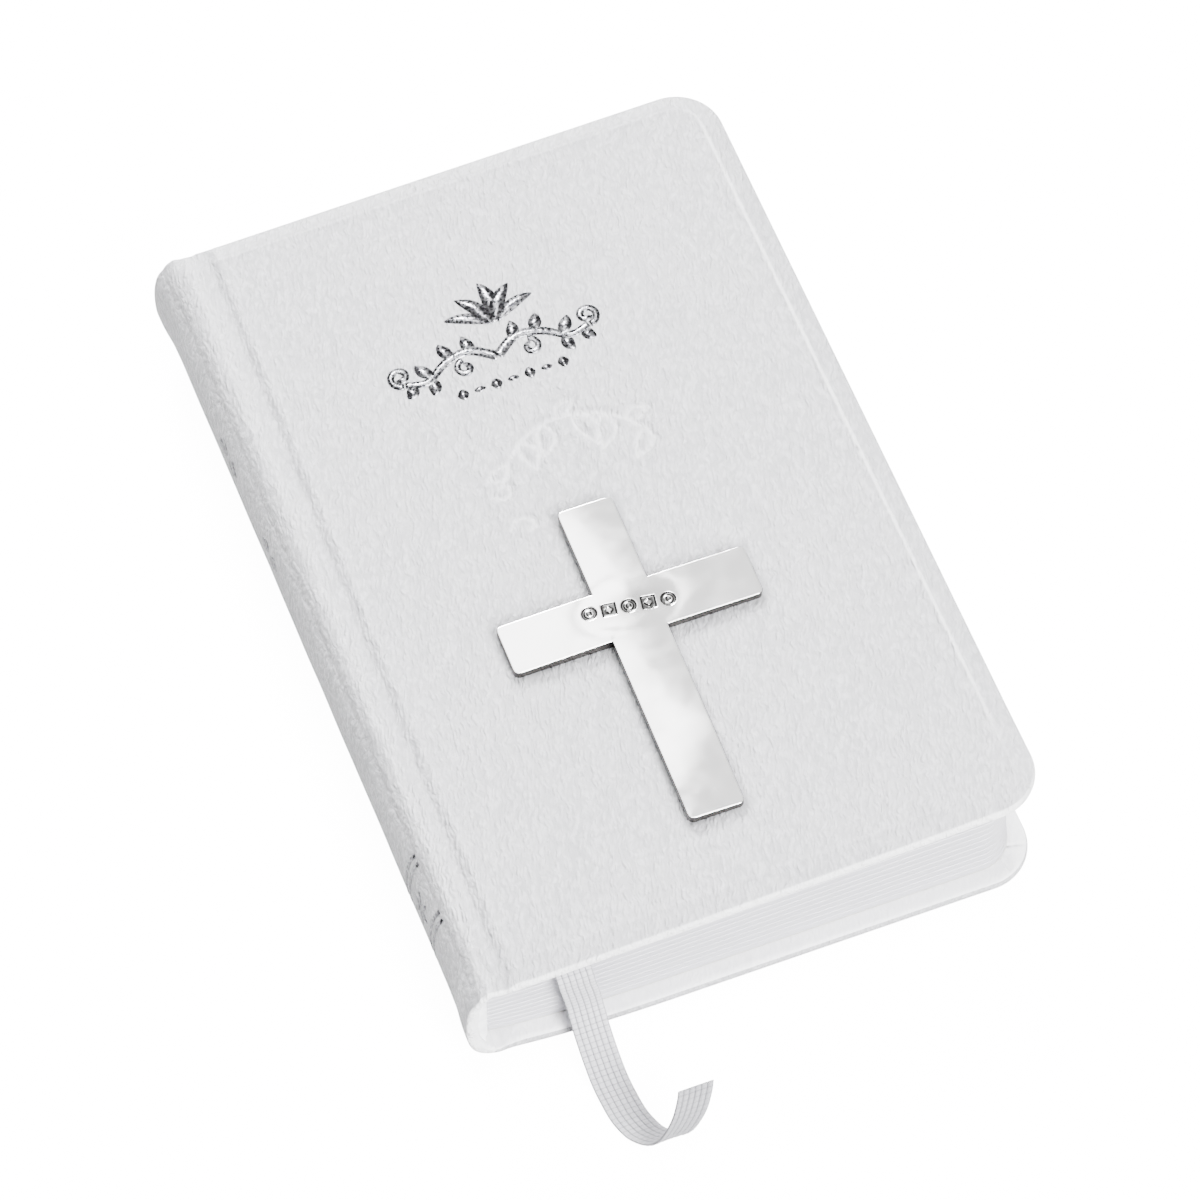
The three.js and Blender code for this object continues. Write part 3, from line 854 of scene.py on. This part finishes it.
def case_skin(name, xz, rows, relief, painted_light_and_marks):
    """A closed skin along xz, the section's path. It grows thicker, with a fuller edge, where it
    covers a board."""
    xz = np.asarray(xz, float)
    boarded = smooth(xz[:, 0], SHOULDER_X, BOARD_X + 1.0)
    thick, under = LEATHER_T + BOARDED_T * boarded, UNDER_PASTE_T + BOARDED_T * boarded
    radius = 0.5 + 0.5 * boarded
    tangent = np.gradient(xz, axis=0)
    tangent /= np.linalg.norm(tangent, axis=1)[:, None]
    normal = np.stack([tangent[:, 1], -tangent[:, 0]], 1)
    if name.startswith("back"):
        normal = -normal
    level = np.abs(tangent[:, 0]) > 0.5
    slope = np.where(level, tangent[:, 1] / np.where(level, tangent[:, 0], 1), 0)
    x, y, z, slope, normal_x, normal_z = np.broadcast_arrays(
        xz[:, 0], rows[:, None], xz[:, 1], slope, normal[:, 0], normal[:, 1])
    over_x = np.clip(x - LOW_X, 0, None) / COVER_CORNER
    over_y = np.clip(np.abs(y) - LOW_Y, 0, None) / COVER_CORNER
    round_x, round_y = rounded(over_x, over_y)

    def placed(inset, depth, at=...):
        """Places of the grid, drawn in by an inset all round and moved inwards by a depth."""
        reach = COVER_CORNER - inset
        gx = np.minimum(x[at], LOW_X) + round_x[at] * reach
        gy = np.sign(y[at]) * (np.minimum(np.abs(y[at]), LOW_Y) + round_y[at] * reach)
        gz = z[at] + slope[at] * (gx - x[at])
        return np.stack([gx + normal_x[at] * depth, gy, gz + normal_z[at] * depth], -1)

    flat_x, flat_y, flat_z = np.moveaxis(placed(0, 0), -1, 0)
    s = edge_distance(flat_x, flat_y)
    turned = radius - np.sqrt(np.maximum(radius**2 - (radius - np.minimum(s, radius)) ** 2, 0))
    depth = relief(flat_x, flat_y, flat_z, s)
    outer = placed(0, turned + depth)

    rim = [(0, j) for j in range(len(xz))]
    rim += [(i, len(xz) - 1) for i in range(1, len(rows))]
    rim += [(len(rows) - 1, j) for j in range(len(xz) - 2, -1, -1)]
    at = tuple(np.array(rim).T)
    ri, rj = at
    arc = np.arctan2(round_y[at], round_x[at]) / (math.pi / 2)
    on_arc = (over_x[at] > 0) & (over_y[at] > 0)
    rings = []
    lower = 0.46 * thick[rj]
    steps = [(0, a) for a in np.linspace(0, 1, 6)] + [(g, 1) for g in (0.35, 0.9, 1.5, 2.1, 2.4)]
    for inward, turn in steps:
        angle = turn * math.pi / 2
        inset = lower * (1 - math.cos(angle)) + inward
        deep = thick[rj] - lower * (1 - math.sin(angle))
        shown = smooth(inset, 0.2, 0.9)
        for place, slant in PLEATS:
            shift = place + slant * 0.06 * (inset - 1.5)
            away = (arc - shift) * math.pi / 2 * (COVER_CORNER - inset)
            deep -= on_arc * shown * (0.34 * bell(away, 0.16) - 0.10 * bell(away - 0.45, 0.5))
        deep -= shown * 0.03 * (1 + waves(inset * 3, ri * 0.05 + rj * 0.11, 2.0, 31))
        rings.append(placed(inset, deep + depth[at] * (1 - turn), at))
    inner = placed(TURN_IN_SHOWN, under)

    count = len(rows) * len(xz)
    grid = np.arange(count).reshape(len(rows), len(xz))
    inner_grid = count + len(rings) * len(rim) + grid
    between = count + np.arange(len(rings) * len(rim)).reshape(len(rings), len(rim))
    wrap = np.concatenate([grid[at][None], between, inner_grid[at][None]])
    faces = quads(grid) + quads(inner_grid[:, ::-1]) + quads(wrap)
    left, inner_left = grid[:, 0], inner_grid[:, 0]
    for i in range(len(rows) - 1):
        faces.append([left[i], left[i + 1], inner_left[i + 1], inner_left[i]])
    faces += [wrap[:, 0].tolist(), wrap[:, -1].tolist()]
    points = np.concatenate([outer.reshape(-1, 3), *rings, inner.reshape(-1, 3)])
    obj = build(name, points, faces, LEATHER)
    # the paler copy of the leather, painted light, for the turned-in side
    obj.data.materials.append(LIT_INSIDE_LEATHER)
    amount = np.zeros(len(points))
    # the outside's painted shade and painted light, also carried onto the first rings of the rounded edge
    amount[:count] = painted_light_and_marks(flat_x, flat_y, s).ravel()
    amount[between[:WRAP_RINGS]] = amount[grid[at]]
    mark(obj, amount)
    panel_faces = (len(rows) - 1) * (len(xz) - 1)
    wrapped = WRAP_RINGS * (len(rim) - 1)
    for k, face in enumerate(obj.data.polygons):
        on_inner = panel_faces <= k < 2 * panel_faces
        face.material_index = int(on_inner or k >= 2 * panel_faces + wrapped)
    return obj


def joint_path(side, count=13):
    """The section of a joint, from the shoulder to the board, on the front (1) or back (-1)."""
    places = np.linspace(SHOULDER_X, BOARD_X, count)
    bend = np.clip((ROUND_X - places) / SPINE_DEPTH, 0, 1)
    curved = ROUND_Z + side * ROUND_HALF * (1 - bend**SPINE_ROUND) ** (1 / SPINE_ROUND)
    plain = THICK - drop(places) if side > 0 else rise(places)
    return [(a, b) for a, b in zip(places, np.where(bend > 0, curved, plain))]


limit = angle_at(SHOULDER_X)
around = [tuple(p) for p in np.stack(rounding(np.linspace(-limit, limit, 56)), 1)]
front_columns = panel_stations(0.62, [(BOARD_X, -29, 0.25), (-14, 14, 0.27)])
front_path = around[:-1] + joint_path(1)[:-1] + [(a, THICK - drop(a)) for a in front_columns]
back_columns = panel_stations(1.4, [(BOARD_X, -29, 0.3)])
back_path = joint_path(-1)[:-1] + [(a, float(rise(a))) for a in back_columns]


def front_skin_relief(x, y, z, s):
    return front_relief(x, y, s) * smooth(x, -35.6, -34.6) + spine_relief(x, y, z)


front_case = case_skin("front_case", front_path, row_stations(0.75, [(-1.5, 18.5, 0.27)]),
                       front_skin_relief, front_painted_light_and_marks)
back_case = case_skin("back_case", back_path, row_stations(1.6), back_relief, back_painted_shade)


def cap(name, side):
    """Leather tucked over the end of the spine: a shallow crowned lip with small gathers."""
    angles = np.linspace(-1.42, 1.42, 60)
    outer_x, outer_z = rounding(angles, 0.75)
    outer_x = outer_x - 0.5 * smooth(-outer_x, 35.4, 37.4)
    inner_x = np.full(angles.shape, -35.25)
    inner_z = ROUND_Z + (outer_z - ROUND_Z) * 0.93
    layers = []
    shares = np.append(np.linspace(0, 1, 14), [1.0, 1.0])
    for t in shares:
        notch = 2.0 * smooth(t, 0.6, 0.8) * bell(np.abs(angles) - 1.05, 0.16)
        tuck = 0.36 + 1.0 * smooth(t, 0.0, 0.28) - 0.16 * math.sin(math.pi * t) ** 2 + notch
        gathers = 0.13 * np.sin(angles * 13 + 1.2 * np.sin(angles * 4)) * math.sin(math.pi * t)
        x = outer_x + (inner_x - outer_x) * t
        z = outer_z + (inner_z - outer_z) * t
        layers.append(np.stack([x, side * (HALF_H - tuck + gathers), z], 1))
    for layer, deep, inward in ((layers[-2], 1.7, 0.1), (layers[-1], 3.0, 0.2)):
        layer[:, 1] = side * (HALF_H - deep)
        layer[:, 0] -= inward
    grid = np.arange(len(layers) * len(angles)).reshape(len(layers), len(angles))
    # the cap takes the paler, painted-light copy of the leather
    obj = build(name, np.concatenate(layers), quads(grid) + [grid[-1].tolist()], LIT_INSIDE_LEATHER)
    # painted shade: a band just inside the rim is darkened, standing in for the recess's shadow
    mark(obj, np.repeat(1.7 * bell(shares - 0.16, 0.11), len(angles)))
    return obj


tail_cap = cap("spine_cap_tail", -1)
head_cap = cap("spine_cap_head", 1)

# ---- Paper: pastedowns, flyleaves and the page block ----

PASTE_LEFT = -34.3
PASTE_CORNER = 3.2
FOLD_REACH = 9.0        # how far from its fold a page bends as it turns
ROUNDED_EDGE = [(-1, 0.06), (-0.93, 0.015), (-0.5, 0), (0, 0), (0.5, 0), (0.93, 0.015), (1, 0.06)]


def fold_x(level):
    """Where the paper at a level is folded, just inside the spine."""
    z = settled(SHOULDER_X + 0.2, level)
    height = min(abs(z - ROUND_Z) / (ROUND_HALF - FOLD_DEPTH), 1)
    return ROUND_X - (SPINE_DEPTH - FOLD_DEPTH) * (1 - height**SPINE_ROUND) ** (1 / SPINE_ROUND)


def trim_x(level):
    """The trimmed fore edge at a level: slightly hollow."""
    share = (2 * level - THICK) / (THICK - 2 * CASE_T)
    return FORE_X - SQUARE - FORE_HOLLOW * (1 - share**2)


def travel(points):
    """How far along a line each of its points is."""
    return np.append(0, np.cumsum(np.linalg.norm(np.diff(points, axis=0), axis=1)))


def stack(name, layers, material, half=PAGE_HALF, corner=PAGE_CORNER):
    """Flat stock cut to the page's outline. layers are (level, left, right, inset), low to high."""
    bend = np.linspace(0, 1, 10)[1:] * math.pi / 2
    loops, maps = [], []
    for level, left, right, inset in layers:
        tall, low = half - inset, right - inset - corner
        near_fold = left + np.linspace(0, FOLD_REACH, 24)
        along = np.append(near_fold, np.linspace(left + FOLD_REACH, low, 28)[1:])
        px = np.append(along, low + corner * np.sin(bend))
        py = np.append(np.full(along.shape, -tall), -tall + corner * (1 - np.cos(bend)))
        side = np.stack([px, py, settled(px, level)], 1)
        loop = np.concatenate([side, side[::-1] * [1, -1, 1]])
        run = travel(loop[:, :2])
        loops.append(loop)
        maps.append(np.stack([run, np.full(run.shape, level)], 1))
    index = np.arange(len(loops) * len(loop)).reshape(len(loops), len(loop))
    edge_faces = quads(np.append(index, index[:, :1], 1))
    faces = edge_faces[:]
    for row in (index[0], index[-1]):
        faces += quads(np.stack([row[:len(side)], row[::-1][:len(side)]]))
    obj = build(name, np.concatenate(loops), faces, material, np.concatenate(maps))
    if material == PAGES:
        obj.data.materials.append(PAPER)
    for face in list(obj.data.polygons)[len(edge_faces):]:
        face.use_smooth = False
        face.material_index = len(obj.data.materials) - 1
    return obj


def section_layers(low):
    """A section's layers: its back rounded by the fold, its edges a touch softened by the trimming."""
    middle, nose = low + SECTION_T / 2, SECTION_T / 2
    left = max(fold_x(low + 0.2 * SECTION_T), fold_x(low + 0.8 * SECTION_T))
    layers = []
    for height, inset in ROUNDED_EDGE:
        back_in = nose * (1 - math.sqrt(max(1 - height**2, 0)))
        layers.append((middle + height * nose, left + back_in, trim_x(middle), inset))
    return layers


BACK_LEAF_LOW = CASE_T + FIT
FIRST_LOW = BACK_LEAF_LOW + LEAF_T + FIT
RIBBON_SLOT = RIBBON_T + FIT
lows = []
for i in range(SECTIONS):
    lift = RIBBON_SLOT if i < TURNING_SECTIONS else 0
    lows.append(FIRST_LOW + (SECTIONS - 1 - i) * SECTION_PITCH + lift)
sections = [stack(f"leaves_{i + 1:02d}", section_layers(low), PAGES) for i, low in enumerate(lows)]


def leaf_layers(low, thick=LEAF_T):
    left = max(fold_x(low), fold_x(low + thick)) + FIT
    return [(low, left, trim_x(low), 0), (low + thick, left, trim_x(low), 0)]


FRONT_LEAF_LOW = FIRST_LOW + SECTIONS * SECTION_PITCH + RIBBON_SLOT
front_leaf = stack("leaf_front", leaf_layers(FRONT_LEAF_LOW), PAPER)
back_leaf = stack("leaf_back", leaf_layers(BACK_LEAF_LOW), PAPER)


def pastedown(name, side):
    """Paper on the inside of a cover, its edges just over the turned-in leather."""
    inner = THICK - CASE_T if side > 0 else CASE_T
    levels = sorted([inner + 0.36 * side, inner - 0.02 * side])
    bare = TURN_IN_SHOWN - 0.2
    return stack(name, [(level, PASTE_LEFT, FORE_X - bare, 0) for level in levels], PAPER,
                 HALF_H - bare, PASTE_CORNER)


front_paste = pastedown("endpaper_front", 1)
back_paste = pastedown("endpaper_back", -1)

# ---- Cross: a polished plate with softened edges and a slightly crowned, uneven face ----


def cross_marks(x, y):
    """Plain punched marks in a row across the middle: rings and lozenges in shallow wells."""
    depth = np.zeros(x.shape)
    c, s = math.cos(-0.15), math.sin(-0.15)
    u, v = x * c + (y - 0.4) * s, (y - 0.4) * c - x * s
    for k, spot in enumerate((-5.0, -2.5, 0.0, 2.5, 5.0)):
        a, b = u - spot, v
        if k % 2 == 0:
            r = np.hypot(a, b)
            well = 1 - smooth(r, 0.85, 1.0)
            figure = bell(r - 0.45, 0.14)
        else:
            r = np.abs(a) + np.abs(b)
            well = 1 - smooth(np.maximum(np.abs(a), np.abs(b)), 0.8, 0.95)
            figure = 1 - smooth(r, 0.45, 0.65)
        depth += 0.13 * well - 0.11 * well * figure
    return depth


def cross_face(x, y):
    """Height of the cross's face, in the cross's own axes: it bows down to its foot and head, and
    its polished flats lean a little this way and that."""
    inside = np.maximum(cross_distance(x, y), 0)
    edge = 0.09
    soft = edge - np.sqrt(np.maximum(edge**2 - (edge - np.minimum(inside, edge)) ** 2, 0))
    bar = CROSS_BAR / 2
    crown = 0.03 * (1 - (1 - np.minimum(inside / bar, 1)) ** 2)
    foot = 0.3 * smooth(-y, 19, 30.4) ** 1.5
    twist = np.interp(y, *zip((-31, -1.2), (-26, -0.8), (-18, 1.0), (-9, -0.3),
                              (-3, -0.4), (4, 0.5), (10, 0), (16, -0.6)))
    crown += 0.028 * np.clip(x, -bar, bar) * twist
    head = 0.12 * smooth(y, 8, 16)
    tips = 0.022 * (np.hypot(x, 3) - 3)
    around = np.hypot(x, (y - 0.6) * 1.6)
    dent = 0.05 * bell(around - 6.2, 1.3) - 0.05 * bell(around, 4.2)
    ripple = 0.007 * waves(x, y, 11, 5)
    return CROSS_T - 0.06 - soft + crown - foot - head - tips - dent + ripple - cross_marks(x, y)


def cross_mesh():
    bar, arm, top = CROSS_BAR / 2, CROSS_W / 2, CROSS_TOP - CROSS_ARM
    close = [0, 0.03, 0.09, 0.17, 0.27, 0.4, 0.6, 0.9]

    def line(marks, fine):
        """Places along an axis: close together beside each edge, and in the punched middle."""
        places = set()
        for low, high in zip(marks, marks[1:]):
            for c in close:
                places.update((round(low + c, 4), round(high - c, 4)))
            at = low + close[-1]
            while at < high - close[-1]:
                places.add(round(at, 4))
                at += 0.1 if fine[0] < at < fine[1] else 0.45
        return np.array(sorted(places))

    xs = line([-arm, -bar, bar, arm], (-6.4, 6.4))
    ys = line([top - CROSS_H, -bar, bar, top], (-1.9, 2.7))
    x, y = np.meshgrid(xs, ys)
    z = cross_face(x, y)
    middle_x, middle_y = (xs[1:] + xs[:-1]) / 2, (ys[1:] + ys[:-1]) / 2
    keep = cross_distance(*np.meshgrid(middle_x, middle_y)) > 0
    foot = top - CROSS_H
    for u, v in ((arm, bar), (arm, -bar), (bar, top), (bar, foot)):
        for side in (1, -1):
            a = (CROSS_ROUND - (u - side * x)) / CROSS_ROUND
            b = (CROSS_ROUND - (abs(v) - np.sign(v) * y)) / CROSS_ROUND
            near = (a > 0) & (b > 0) & (a <= 1.001) & (b <= 1.001)
            in_x, in_y = (CROSS_ROUND * (1 - t) for t in rounded(a, b))
            x = np.where(near, side * (u - in_x), x)
            y = np.where(near, np.sign(v) * (abs(v) - in_y), y)
    c, s = math.cos(CROSS_TURN), math.sin(CROSS_TURN)
    px, py = CROSS_X + x * c - y * s, CROSS_ARM + x * s + y * c
    pz = THICK - drop(px) + z
    points = np.stack([px, py, pz], -1).reshape(-1, 3)
    grid = np.arange(len(points)).reshape(x.shape)
    work = bmesh.new()
    vertices = [work.verts.new(p) for p in points]
    for face, kept in zip(quads(grid), keep.ravel()):
        if kept:
            work.faces.new([vertices[i] for i in face])
    bmesh.ops.delete(work, geom=[v for v in work.verts if not v.link_faces], context="VERTS")
    rim = [e for e in work.edges if e.is_boundary]
    for height in (0.42, 0.2, 0.02):
        made = bmesh.ops.extrude_edge_only(work, edges=rim)
        rim = [g for g in made["geom"] if isinstance(g, bmesh.types.BMEdge)]
        for vertex in {v for e in rim for v in e.verts}:
            vertex.co.z = THICK - drop(vertex.co.x) + height
    bmesh.ops.holes_fill(work, edges=rim)
    work.verts.index_update()
    corners = [tuple(v.co) for v in work.verts]
    sides = [[v.index for v in f.verts] for f in work.faces]
    work.free()
    plate = build("cross_plate", corners, sides, SILVER)
    u, v = crossed(*np.array(corners)[:, :2].T)
    # the punched marks dark in their wells, and a soft oval round the crossing painted darker: a painted dim
    # reflection
    around = np.exp(-(np.hypot(u * 0.8, (v - 0.6) * 2.2) / 4.6) ** 4)
    mark(plate, np.clip(cross_marks(u, v) / 0.1, 0, 1) * 0.95 + 0.4 * around)
    return plate


cross = cross_mesh()

# ---- Foil: a leaf and scroll ornament on the front cover, and sprays and bands on the spine ----

FOIL_LIFT = 0.045
FOIL_SINK = 0.03


def strip(points, widths, place):
    """A thin closed strip of varying width that lies on the case. Returns its points and faces."""
    run = np.gradient(points, axis=0)
    run /= np.maximum(np.linalg.norm(run, axis=1), 1e-9)[:, None]
    aside = np.stack([-run[:, 1], run[:, 0]], 1) * (widths / 2)[:, None]
    corners = []
    for side, height in ((-1, -FOIL_SINK), (-1, FOIL_LIFT), (1, FOIL_LIFT), (1, -FOIL_SINK)):
        corners.append(place(*(points + side * aside).T, height))
    grid = np.stack(corners, 1)
    count = len(points)
    index = np.arange(count * 4).reshape(count, 4)
    faces = quads(np.concatenate([index, index[:, :1]], 1))
    faces += [index[0].tolist(), index[-1].tolist()]
    return grid.reshape(-1, 3), faces


def on_front(x, y, height):
    return np.stack([x, y, front_surface(x, y) + height], 1)


def on_spine(y, z, height):
    """y along the spine, z up it."""
    up = np.clip((z - ROUND_Z) / ROUND_HALF, -0.99, 0.99)
    x = ROUND_X - SPINE_DEPTH * (1 - np.abs(up) ** SPINE_ROUND) ** (1 / SPINE_ROUND)
    return np.stack([x - height + spine_relief(x, y, z), y, z], 1)


def scroll(middle, size, turns, start, sense=1):
    """A spiral that winds in towards its middle."""
    t = np.linspace(0, 1, 30)
    angle = start + sense * t * turns * 2 * math.pi
    radius = size * (1 - 0.78 * t)
    return np.asarray(middle) + np.stack([np.cos(angle), np.sin(angle)], 1) * radius[:, None]


def blade(base, heading, length, width, bow=0.12):
    """A leaf-shaped stroke, as its line and its widths along it."""
    t = np.linspace(0, 1, 14)
    c, s = math.cos(math.radians(heading)), math.sin(math.radians(heading))
    aside = bow * length * np.sin(math.pi * t)
    line = np.asarray(base) + np.outer(t * length, [c, s]) + np.outer(aside, [-s, c])
    least = 0.12
    return line, least + (width - least) * np.sin(np.linspace(0, math.pi, len(t))) ** 0.8


def foil(name, strokes, place):
    points, faces, base = [], [], 0
    for line, widths in strokes:
        corners, sides = strip(line, widths, place)
        points.append(corners)
        faces += [[i + base for i in f] for f in sides]
        base += len(corners)
    return build(name, np.concatenate(points), faces, FOIL)


def front_strokes():
    """A fan of leaves, a leafy stem and two scrolls on each side, and a row of lozenges below."""
    strokes = []
    for heading, length, width in (
        (90, 6.4, 2.2), (56, 6.0, 1.9), (124, 6.0, 1.9), (24, 6.0, 1.6), (156, 6.0, 1.6),
    ):
        base = (-0.7 + 0.5 * math.cos(math.radians(heading)), 32.3)
        strokes.append(blade(base, heading, length, width, 0.1 if heading < 90 else -0.1))
    centre = -2.1
    for side in (1, -1):
        stem = curve([(centre, 27.4), (centre + side * 3.2, 29.4), (centre + side * 6.6, 28.8),
                      (centre + side * 9.6, 27.0), (centre + side * 12.4, 27.6)], 0.35)
        strokes.append((stem, np.linspace(1.4, 0.9, len(stem))))
        curl = scroll((centre + side * 12.6, 29.0), 1.5, 1.15, -math.pi / 2, side)
        strokes.append((curl, np.linspace(0.9, 0.95, len(curl))))
        low = scroll((centre + side * 4.4, 27.2), 1.25, 1.0, math.pi / 2, -side)
        strokes.append((low, np.linspace(0.8, 0.95, len(low))))
        for reach, heading, length in (
            (2.2, 70, 2.6), (5.2, 60, 2.5), (8.2, 48, 2.6), (8.8, -75, 2.2), (11.2, -50, 1.9),
        ):
            spot = stem[np.argmin(np.abs(stem[:, 0] - centre - side * reach))]
            turn = heading if side > 0 else 180 - heading
            strokes.append(blade(spot, turn, length * 1.15, 1.7, -0.12 * side))
    for k in range(7):
        x = -8.2 + k * 2.25
        strokes.append(blade((x - 0.75, 23.5), 0, 1.5, 0.8 if k % 2 else 1.6, 0))
    return strokes


def spine_strokes():
    """Two pairs of leafy sprays, four plain bands and a star."""
    strokes = []
    middle = ROUND_Z + 1.6
    for low, high in ((27, 33), (12, 17)):
        reach = (high - low) / 2
        for sign, heading in ((1, 0), (-1, 180)):
            base = ((low + high) / 2 + sign * 0.3, middle)
            strokes.append(blade(base, heading, reach, 1.7, 0))
            for lean in (38, -38):
                strokes.append(blade(base, heading + lean, reach * 0.75, 0.8))
    for y in (-35.2, -36.4, -43.6, -44.8):
        line = np.stack([np.full(12, y), np.linspace(middle - 4.2, middle + 4.2, 12)], 1)
        strokes.append((line, np.full(12, 0.6)))
    for lean in (0, 60, 120, 180, 240, 300):
        strokes.append(blade((-40, middle), lean, 2.4, 0.9, 0.05))
    return strokes


title_foil = foil("ornament_front", front_strokes(), on_front)
spine_foil = foil("ornament_spine", spine_strokes(), on_spine)

# ---- Ribbon: woven, with raised ribs along it ----


def ribbon(name, route, thick, cup):
    """A band along a route, with ribs, bars of weft and edges that cup up by some millimetres."""
    middle = curve(route, 0.28)
    run = np.gradient(middle, axis=0)
    up = np.stack([np.zeros(len(run)), -run[:, 2], run[:, 1]], 1)
    up /= np.linalg.norm(up, axis=1)[:, None]
    along = travel(middle)
    check = 1 + 0.12 * np.sin(2 * math.pi * along / WEFT_PITCH)
    across = np.linspace(-0.5, 0.5, RIBS * 6 + 1)
    height = 0.5 * thick * (0.5 + 0.5 * np.abs(np.sin(math.pi * RIBS * (across + 0.5))) ** 0.7)
    height[0] = height[-1] = 0.2 * thick
    profile = list(zip(across, height)) + list(zip(across[::-1], -height[::-1]))
    points, uv = [], []
    for a, h in profile:
        at = middle + up * (h * check)[:, None] + up * (cup * (4 * a * a))
        at[:, 0] += a * RIBBON_W
        points.append(at)
        uv.append(np.stack([np.full(len(middle), a * RIBBON_W), along], 1))
    grid = np.arange(len(profile) * len(middle)).reshape(len(profile), len(middle))
    faces = quads(np.concatenate([grid, grid[:1]]))
    faces += [grid[:, 0].tolist(), grid[:, -1].tolist()]
    band = build(name, np.concatenate(points), faces, RIBBON, np.concatenate(uv))
    # one face of the band takes the amount 1 for its painted shade; on the ribbon's end it is the underside, which
    # shows where the end curls up
    under = np.repeat(np.arange(len(profile)) < len(across), len(middle)).astype(float)
    mark(band, under)
    return band


ribbon_end = ribbon("ribbon_end", RIBBON_ROUTE, 0.42, 0.10)
marker_low, marker_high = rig.box("ribbon_marker")
marker_z = (marker_low.z + marker_high.z) / 2 / MM
marker_route = [(-24, y, marker_z) for y in (-55.2, -20, 20, 55.2)]
ribbon_inside = ribbon("ribbon_inside", marker_route, 0.2, 0)

# ---- What rides on what ----

joint = (SHOULDER_X * MM, 0, 0), (BOARD_X * MM, 0, 0)
leaf_bend = (-0.0334, 0, 0), (-0.0275, 0, 0)
for obj, body, ends, nodes in (
    (front_case, "front_cover", joint, ("front_leather", "front_joint_leather", "spine_leather")),
    (back_case, "back_cover", joint, ("back_leather", "back_joint_leather")),
    (front_paste, "front_cover", joint, ("front_pastedown",)),
    (back_paste, "back_cover", joint, ("back_pastedown",)),
    (front_leaf, "front_flyleaf", leaf_bend, ("front_flyleaf",)),
    (back_leaf, "back_flyleaf", leaf_bend, ("back_flyleaf",)),
):
    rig.blend(obj, "text_block", body, *ends)
    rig.replaces(obj, *nodes)
for obj in (tail_cap, head_cap, spine_foil, ribbon_end, ribbon_inside):
    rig.ride(obj, "text_block")
for obj in (cross, title_foil):
    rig.ride(obj, "front_cover")
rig.replaces(cross, "cross")
for i, obj in enumerate(sections):
    node = f"section_{i + 1:02d}"
    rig.replaces(obj, node)
    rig.slot(obj, "pages")
    if i < TURNING_SECTIONS:
        fold = fold_x(lows[i])
        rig.blend(obj, "text_block", node, ((fold + 0.6) * MM, 0, 0), ((fold + 7.5) * MM, 0, 0))
    else:
        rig.ride(obj, "text_block")
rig.replaces(ribbon_end, "ribbon_tail")
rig.replaces(ribbon_inside, "ribbon_marker")
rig.cord(
    ribbon_end, exit=[v * MM for v in RIBBON_ROUTE[0]], length=RIBBON_LENGTH, diameter=RIBBON_W * MM,
    far_end="bare", stiffness="limp", lay="hanging",
    path=[[v * MM for v in p] for p in RIBBON_ROUTE],
)
for slot, group in (
    ("leather", (front_case, back_case, tail_cap, head_cap)),
    ("endpaper", (front_paste, back_paste, front_leaf, back_leaf)),
    ("silver", (cross, title_foil, spine_foil)),
    ("ribbon", (ribbon_end, ribbon_inside)),
):
    for obj in group:
        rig.slot(obj, slot)
carried = {"front_board": BOARD, "back_board": BOARD, "spine_inlay": CARD, "kraft_lining": KRAFT,
           "mull": MULL, "cross_glue": GLUE}
carried.update({f"sewing_thread_{k}": THREAD for k in range(1, 7)})
for node, material in carried.items():
    data = frame["nodes"][node].data
    data.materials.clear()
    data.materials.append(material)

# ---- Floor and light ----

FLOOR_REACH = 3000
floor = build("floor", np.array([(-1, -1, 0), (1, -1, 0), (1, 1, 0), (-1, 1, 0)]) * FLOOR_REACH,
              [[0, 1, 2, 3]], floor_look())
floor.location.z = -0.0001
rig.stage(floor)


def lamp(name, place, size, power):
    """A rectangular white lamp, aimed at the middle of the book."""
    data = bpy.data.lights.new(name, "AREA")
    data.shape = "RECTANGLE"
    data.size, data.size_y = size
    data.energy = power
    away = np.array(place) - [0, 0, 0.01]
    away /= np.linalg.norm(away)
    side = np.cross([0, 0, 1], away)
    side /= np.linalg.norm(side)
    put(name, data).matrix_world = aimed(side, np.cross(away, side), away, place)


lamp("front", (0.3, -0.95, 0.6), (0.6, 0.6), 58)
lamp("over", (0.1, 0.1, 1.6), (0.6, 0.6), 26)
lamp("rear", (0.1, 1.2, 0.75), (0.4, 0.4), 75)
lamp("sheen", (0.03, 0.95, 1.3), (0.4, 0.7), 5)
lamp("sky", (0.5, 1.5, 2.4), (2.4, 2.4), 28)
world = bpy.data.worlds.new("studio")
world.use_nodes = True
daylight = world.node_tree.nodes["Background"].inputs
daylight["Color"].default_value = (1, 1, 1, 1)
daylight["Strength"].default_value = 0.35
bpy.context.scene.world = world

with open("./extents.json", "w") as sizes:
    json.dump({"cad": [list(v) for v in cad_box], "visual": [list(v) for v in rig.bounds()]}, sizes)
